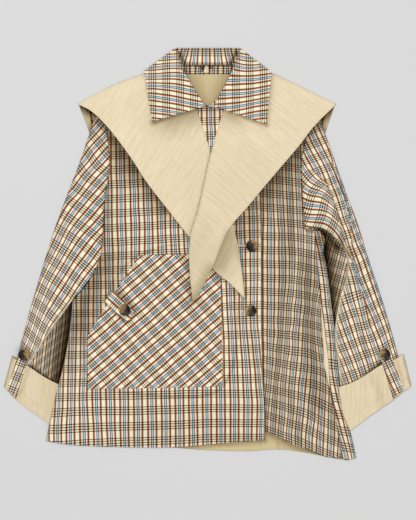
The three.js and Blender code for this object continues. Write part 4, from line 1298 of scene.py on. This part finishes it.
# %% Stitching along paths
STITCH_LIFT, HOLE_LIFT = 0.12, 0.2
PATH_STEP, PATH_KEEP = 3.0, 0.7


def on_cloth(layer, line, lift=STITCH_LIFT):
    """A line of places as a path that lies on a laid panel, in metres."""
    height = sample(pile[layer]["top"], line[:, 0], line[:, 1]) + lift
    return [((p[0] + SHIFT[0]) * MM, (p[1] + SHIFT[1]) * MM, z * MM) for p, z in zip(line, height)]


def inner_line(layer, stations, distance, straight=False):
    """A line beside an edge, at a distance inside the panel."""
    run = resample(stations, PATH_STEP) if straight else smooth_curve(stations, PATH_STEP)
    along = np.gradient(run, axis=0)
    along /= np.linalg.norm(along, axis=1)[:, None]
    across = np.column_stack([-along[:, 1], along[:, 0]]) * distance
    outline = pile[layer]["outline"]
    side = max((run + across, run - across), key=lambda line: depth_inside(outline, line[:, 0], line[:, 1]).sum())
    return side[depth_inside(outline, side[:, 0], side[:, 1]) > PATH_KEEP * min(distance, 3.0)]


def stitched(name, paths, thread, step=3.4, across=0.45, height=0.35, along=2.4):
    """One piece of sewing along some paths, with its stitches' sizes in millimetres."""
    vertices, joins = [], []
    for path in paths:
        start = len(vertices)
        vertices += path
        joins += [(start + k, start + k + 1) for k in range(len(path) - 1)]
    mesh = bpy.data.meshes.new(name)
    mesh.from_pydata(vertices, joins, [])
    holder = bpy.data.objects.new(f"{name}_paths", mesh)
    scene.collection.objects.link(holder)
    sewing = holder.modifiers.new("stitches", "NODES")
    sewing.node_group = stitches
    given = {"Step": step * MM, "Across": across * MM, "Height": height * MM, "Along": along * MM, "Thread": thread}
    for item in stitches.interface.items_tree:
        if item.in_out == "INPUT" and item.name in given:
            sewing[item.identifier] = given[item.name]
    seen = holder.evaluated_get(bpy.context.evaluated_depsgraph_get())
    piece = bpy.data.objects.new(name, bpy.data.meshes.new_from_object(seen))
    scene.collection.objects.link(piece)
    bpy.data.objects.remove(holder)
    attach(piece, "root")
    print(name, len(piece.data.polygons), "faces")
    return piece


THREAD_TWISTS = 1500.0


def thread_material(name, code):
    """Cotton thread: matt, with a faint twist of light and dark along it."""
    material, tree, shader = new_material(name)
    place = add_node(tree, "ShaderNodeTexCoord").outputs["Object"]
    twist = add_node(tree, "ShaderNodeTexNoise", {"Vector": place, "Scale": THREAD_TWISTS,
                                                  "Detail": 1.0}).outputs["Fac"]
    color = mix(tree, 1.0, light(code), ramp(tree, twist, [(0.3, light("C8C0B0")), (0.7, light("FFFFFF"))]),
                "MULTIPLY")
    tree.links.new(color, shader.inputs["Base Color"])
    shader.inputs["Roughness"].default_value = 0.8
    return material


# %% Topstitching
stitches = stitch_tree()
pale_thread = thread_material("pale_thread", "EFE6CC")
tan_thread = thread_material("tan_thread", "CDB98F")
collar_leaves = [[(-108, 309), (-94, 222), (-5, 248)], [(10, 248), (99, 218), (108, 307)]]
# Each row is a panel, an edge of it, how far inside the edge the seam runs and whether it is straight
check_seams = [("patch_pocket", pocket_edge, 2.0, True), ("pocket_tab", tab_edge, 1.8, True),
               ("front_right", edges["front_edge_right"], 5.0, False)]
check_seams += [(f"strap_{hand}", looped(strap_corners[hand]), 1.8, True) for hand in HANDS]
check_seams += [("collar", leaf, 4.5, True) for leaf in collar_leaves]
beige_seams = [(f"cuff_{hand}", edges[f"cuff_mouth_{hand}"], 16.0, False) for hand in HANDS]
beige_seams += [(f"cape_{hand}", edges[f"cape_{side}_{hand}"], 2.4, False)
                for hand in HANDS for side in ("outer", "inner")]
for name, seams, thread, slot in (("stitching_check", check_seams, pale_thread, "check_cloth"),
                                  ("stitching_beige", beige_seams, tan_thread, "beige_cloth")):
    paths = [on_cloth(layer, inner_line(layer, line, inside, straight)) for layer, line, inside, straight in seams]
    stitched(name, [path for path in paths if len(path) > 2], thread)

# %% Worked buttonholes
# Each row is a panel and the ends of a buttonhole, which starts left of its button
holes = [("front_right", (51.5, 12.4), (70, 12)), ("front_right", (57, -98), (70, -98.6)),
         ("pocket_tab", (-150, -88), (-138, -99))]
paths = [on_cloth(layer, resample([start, end], 1.0), HOLE_LIFT) for layer, start, end in holes]
stitched("buttonholes", paths, pale_thread, step=0.55, across=2.6, height=0.6, along=0.6)

# %% [markdown]
# ## Stage
# The floor is plain and pale. A lamp at the top left and a broader, fainter one at the bottom right give
# soft shadows. The camera looks straight down on the field that the photo shows.

# %% Floor, lamps and camera
floor_mesh = bpy.data.meshes.new("floor")
REACH = 4
floor_mesh.from_pydata([(-REACH, -REACH, 0), (REACH, -REACH, 0), (REACH, REACH, 0), (-REACH, REACH, 0)], [],
                       [(0, 1, 2, 3)])
floor = bpy.data.objects.new("floor", floor_mesh)
scene.collection.objects.link(floor)
floor_material, _, floor_shader = new_material("floor")
floor_shader.inputs["Base Color"].default_value = light("D8D8D8")
floor_shader.inputs["Roughness"].default_value = 1.0
floor_shader.inputs["Specular IOR Level"].default_value = 0.0
floor_mesh.materials.append(floor_material)


def area_lamp(name, location, size, power):
    """A round lamp that looks at the coat's middle."""
    lamp_data = bpy.data.lights.new(name, "AREA")
    lamp_data.shape = "DISK"
    lamp_data.size = size
    lamp_data.energy = power
    lamp = bpy.data.objects.new(name, lamp_data)
    lamp.location = location
    lamp.rotation_euler = (-Vector(location)).to_track_quat("-Z", "Y").to_euler()
    scene.collection.objects.link(lamp)


area_lamp("key", (-0.9, 1.3, 3.6), size=1.7, power=69.0)
area_lamp("fill", (1.2, -1.4, 3.4), size=2.6, power=41.5)
world = bpy.data.worlds.new("studio")
scene.world = world
world.use_nodes = True
world.node_tree.nodes["Background"].inputs["Color"].default_value = (1.0, 1.0, 1.0, 1.0)
world.node_tree.nodes["Background"].inputs["Strength"].default_value = 0.42
scene.view_settings.view_transform = "Standard"

LENS, SENSOR = 85.0, 36.0
FIELD = PHOTO_HEIGHT * PHOTO_SCALE * MM
VIEW_MIDDLE = (0.0005, -0.0104)
camera_data = bpy.data.cameras.new("camera")
camera_data.lens = LENS
camera_data.sensor_width = SENSOR
camera = bpy.data.objects.new("camera", camera_data)
camera.location = (*VIEW_MIDDLE, FIELD * LENS / SENSOR)
scene.collection.objects.link(camera)
scene.camera = camera
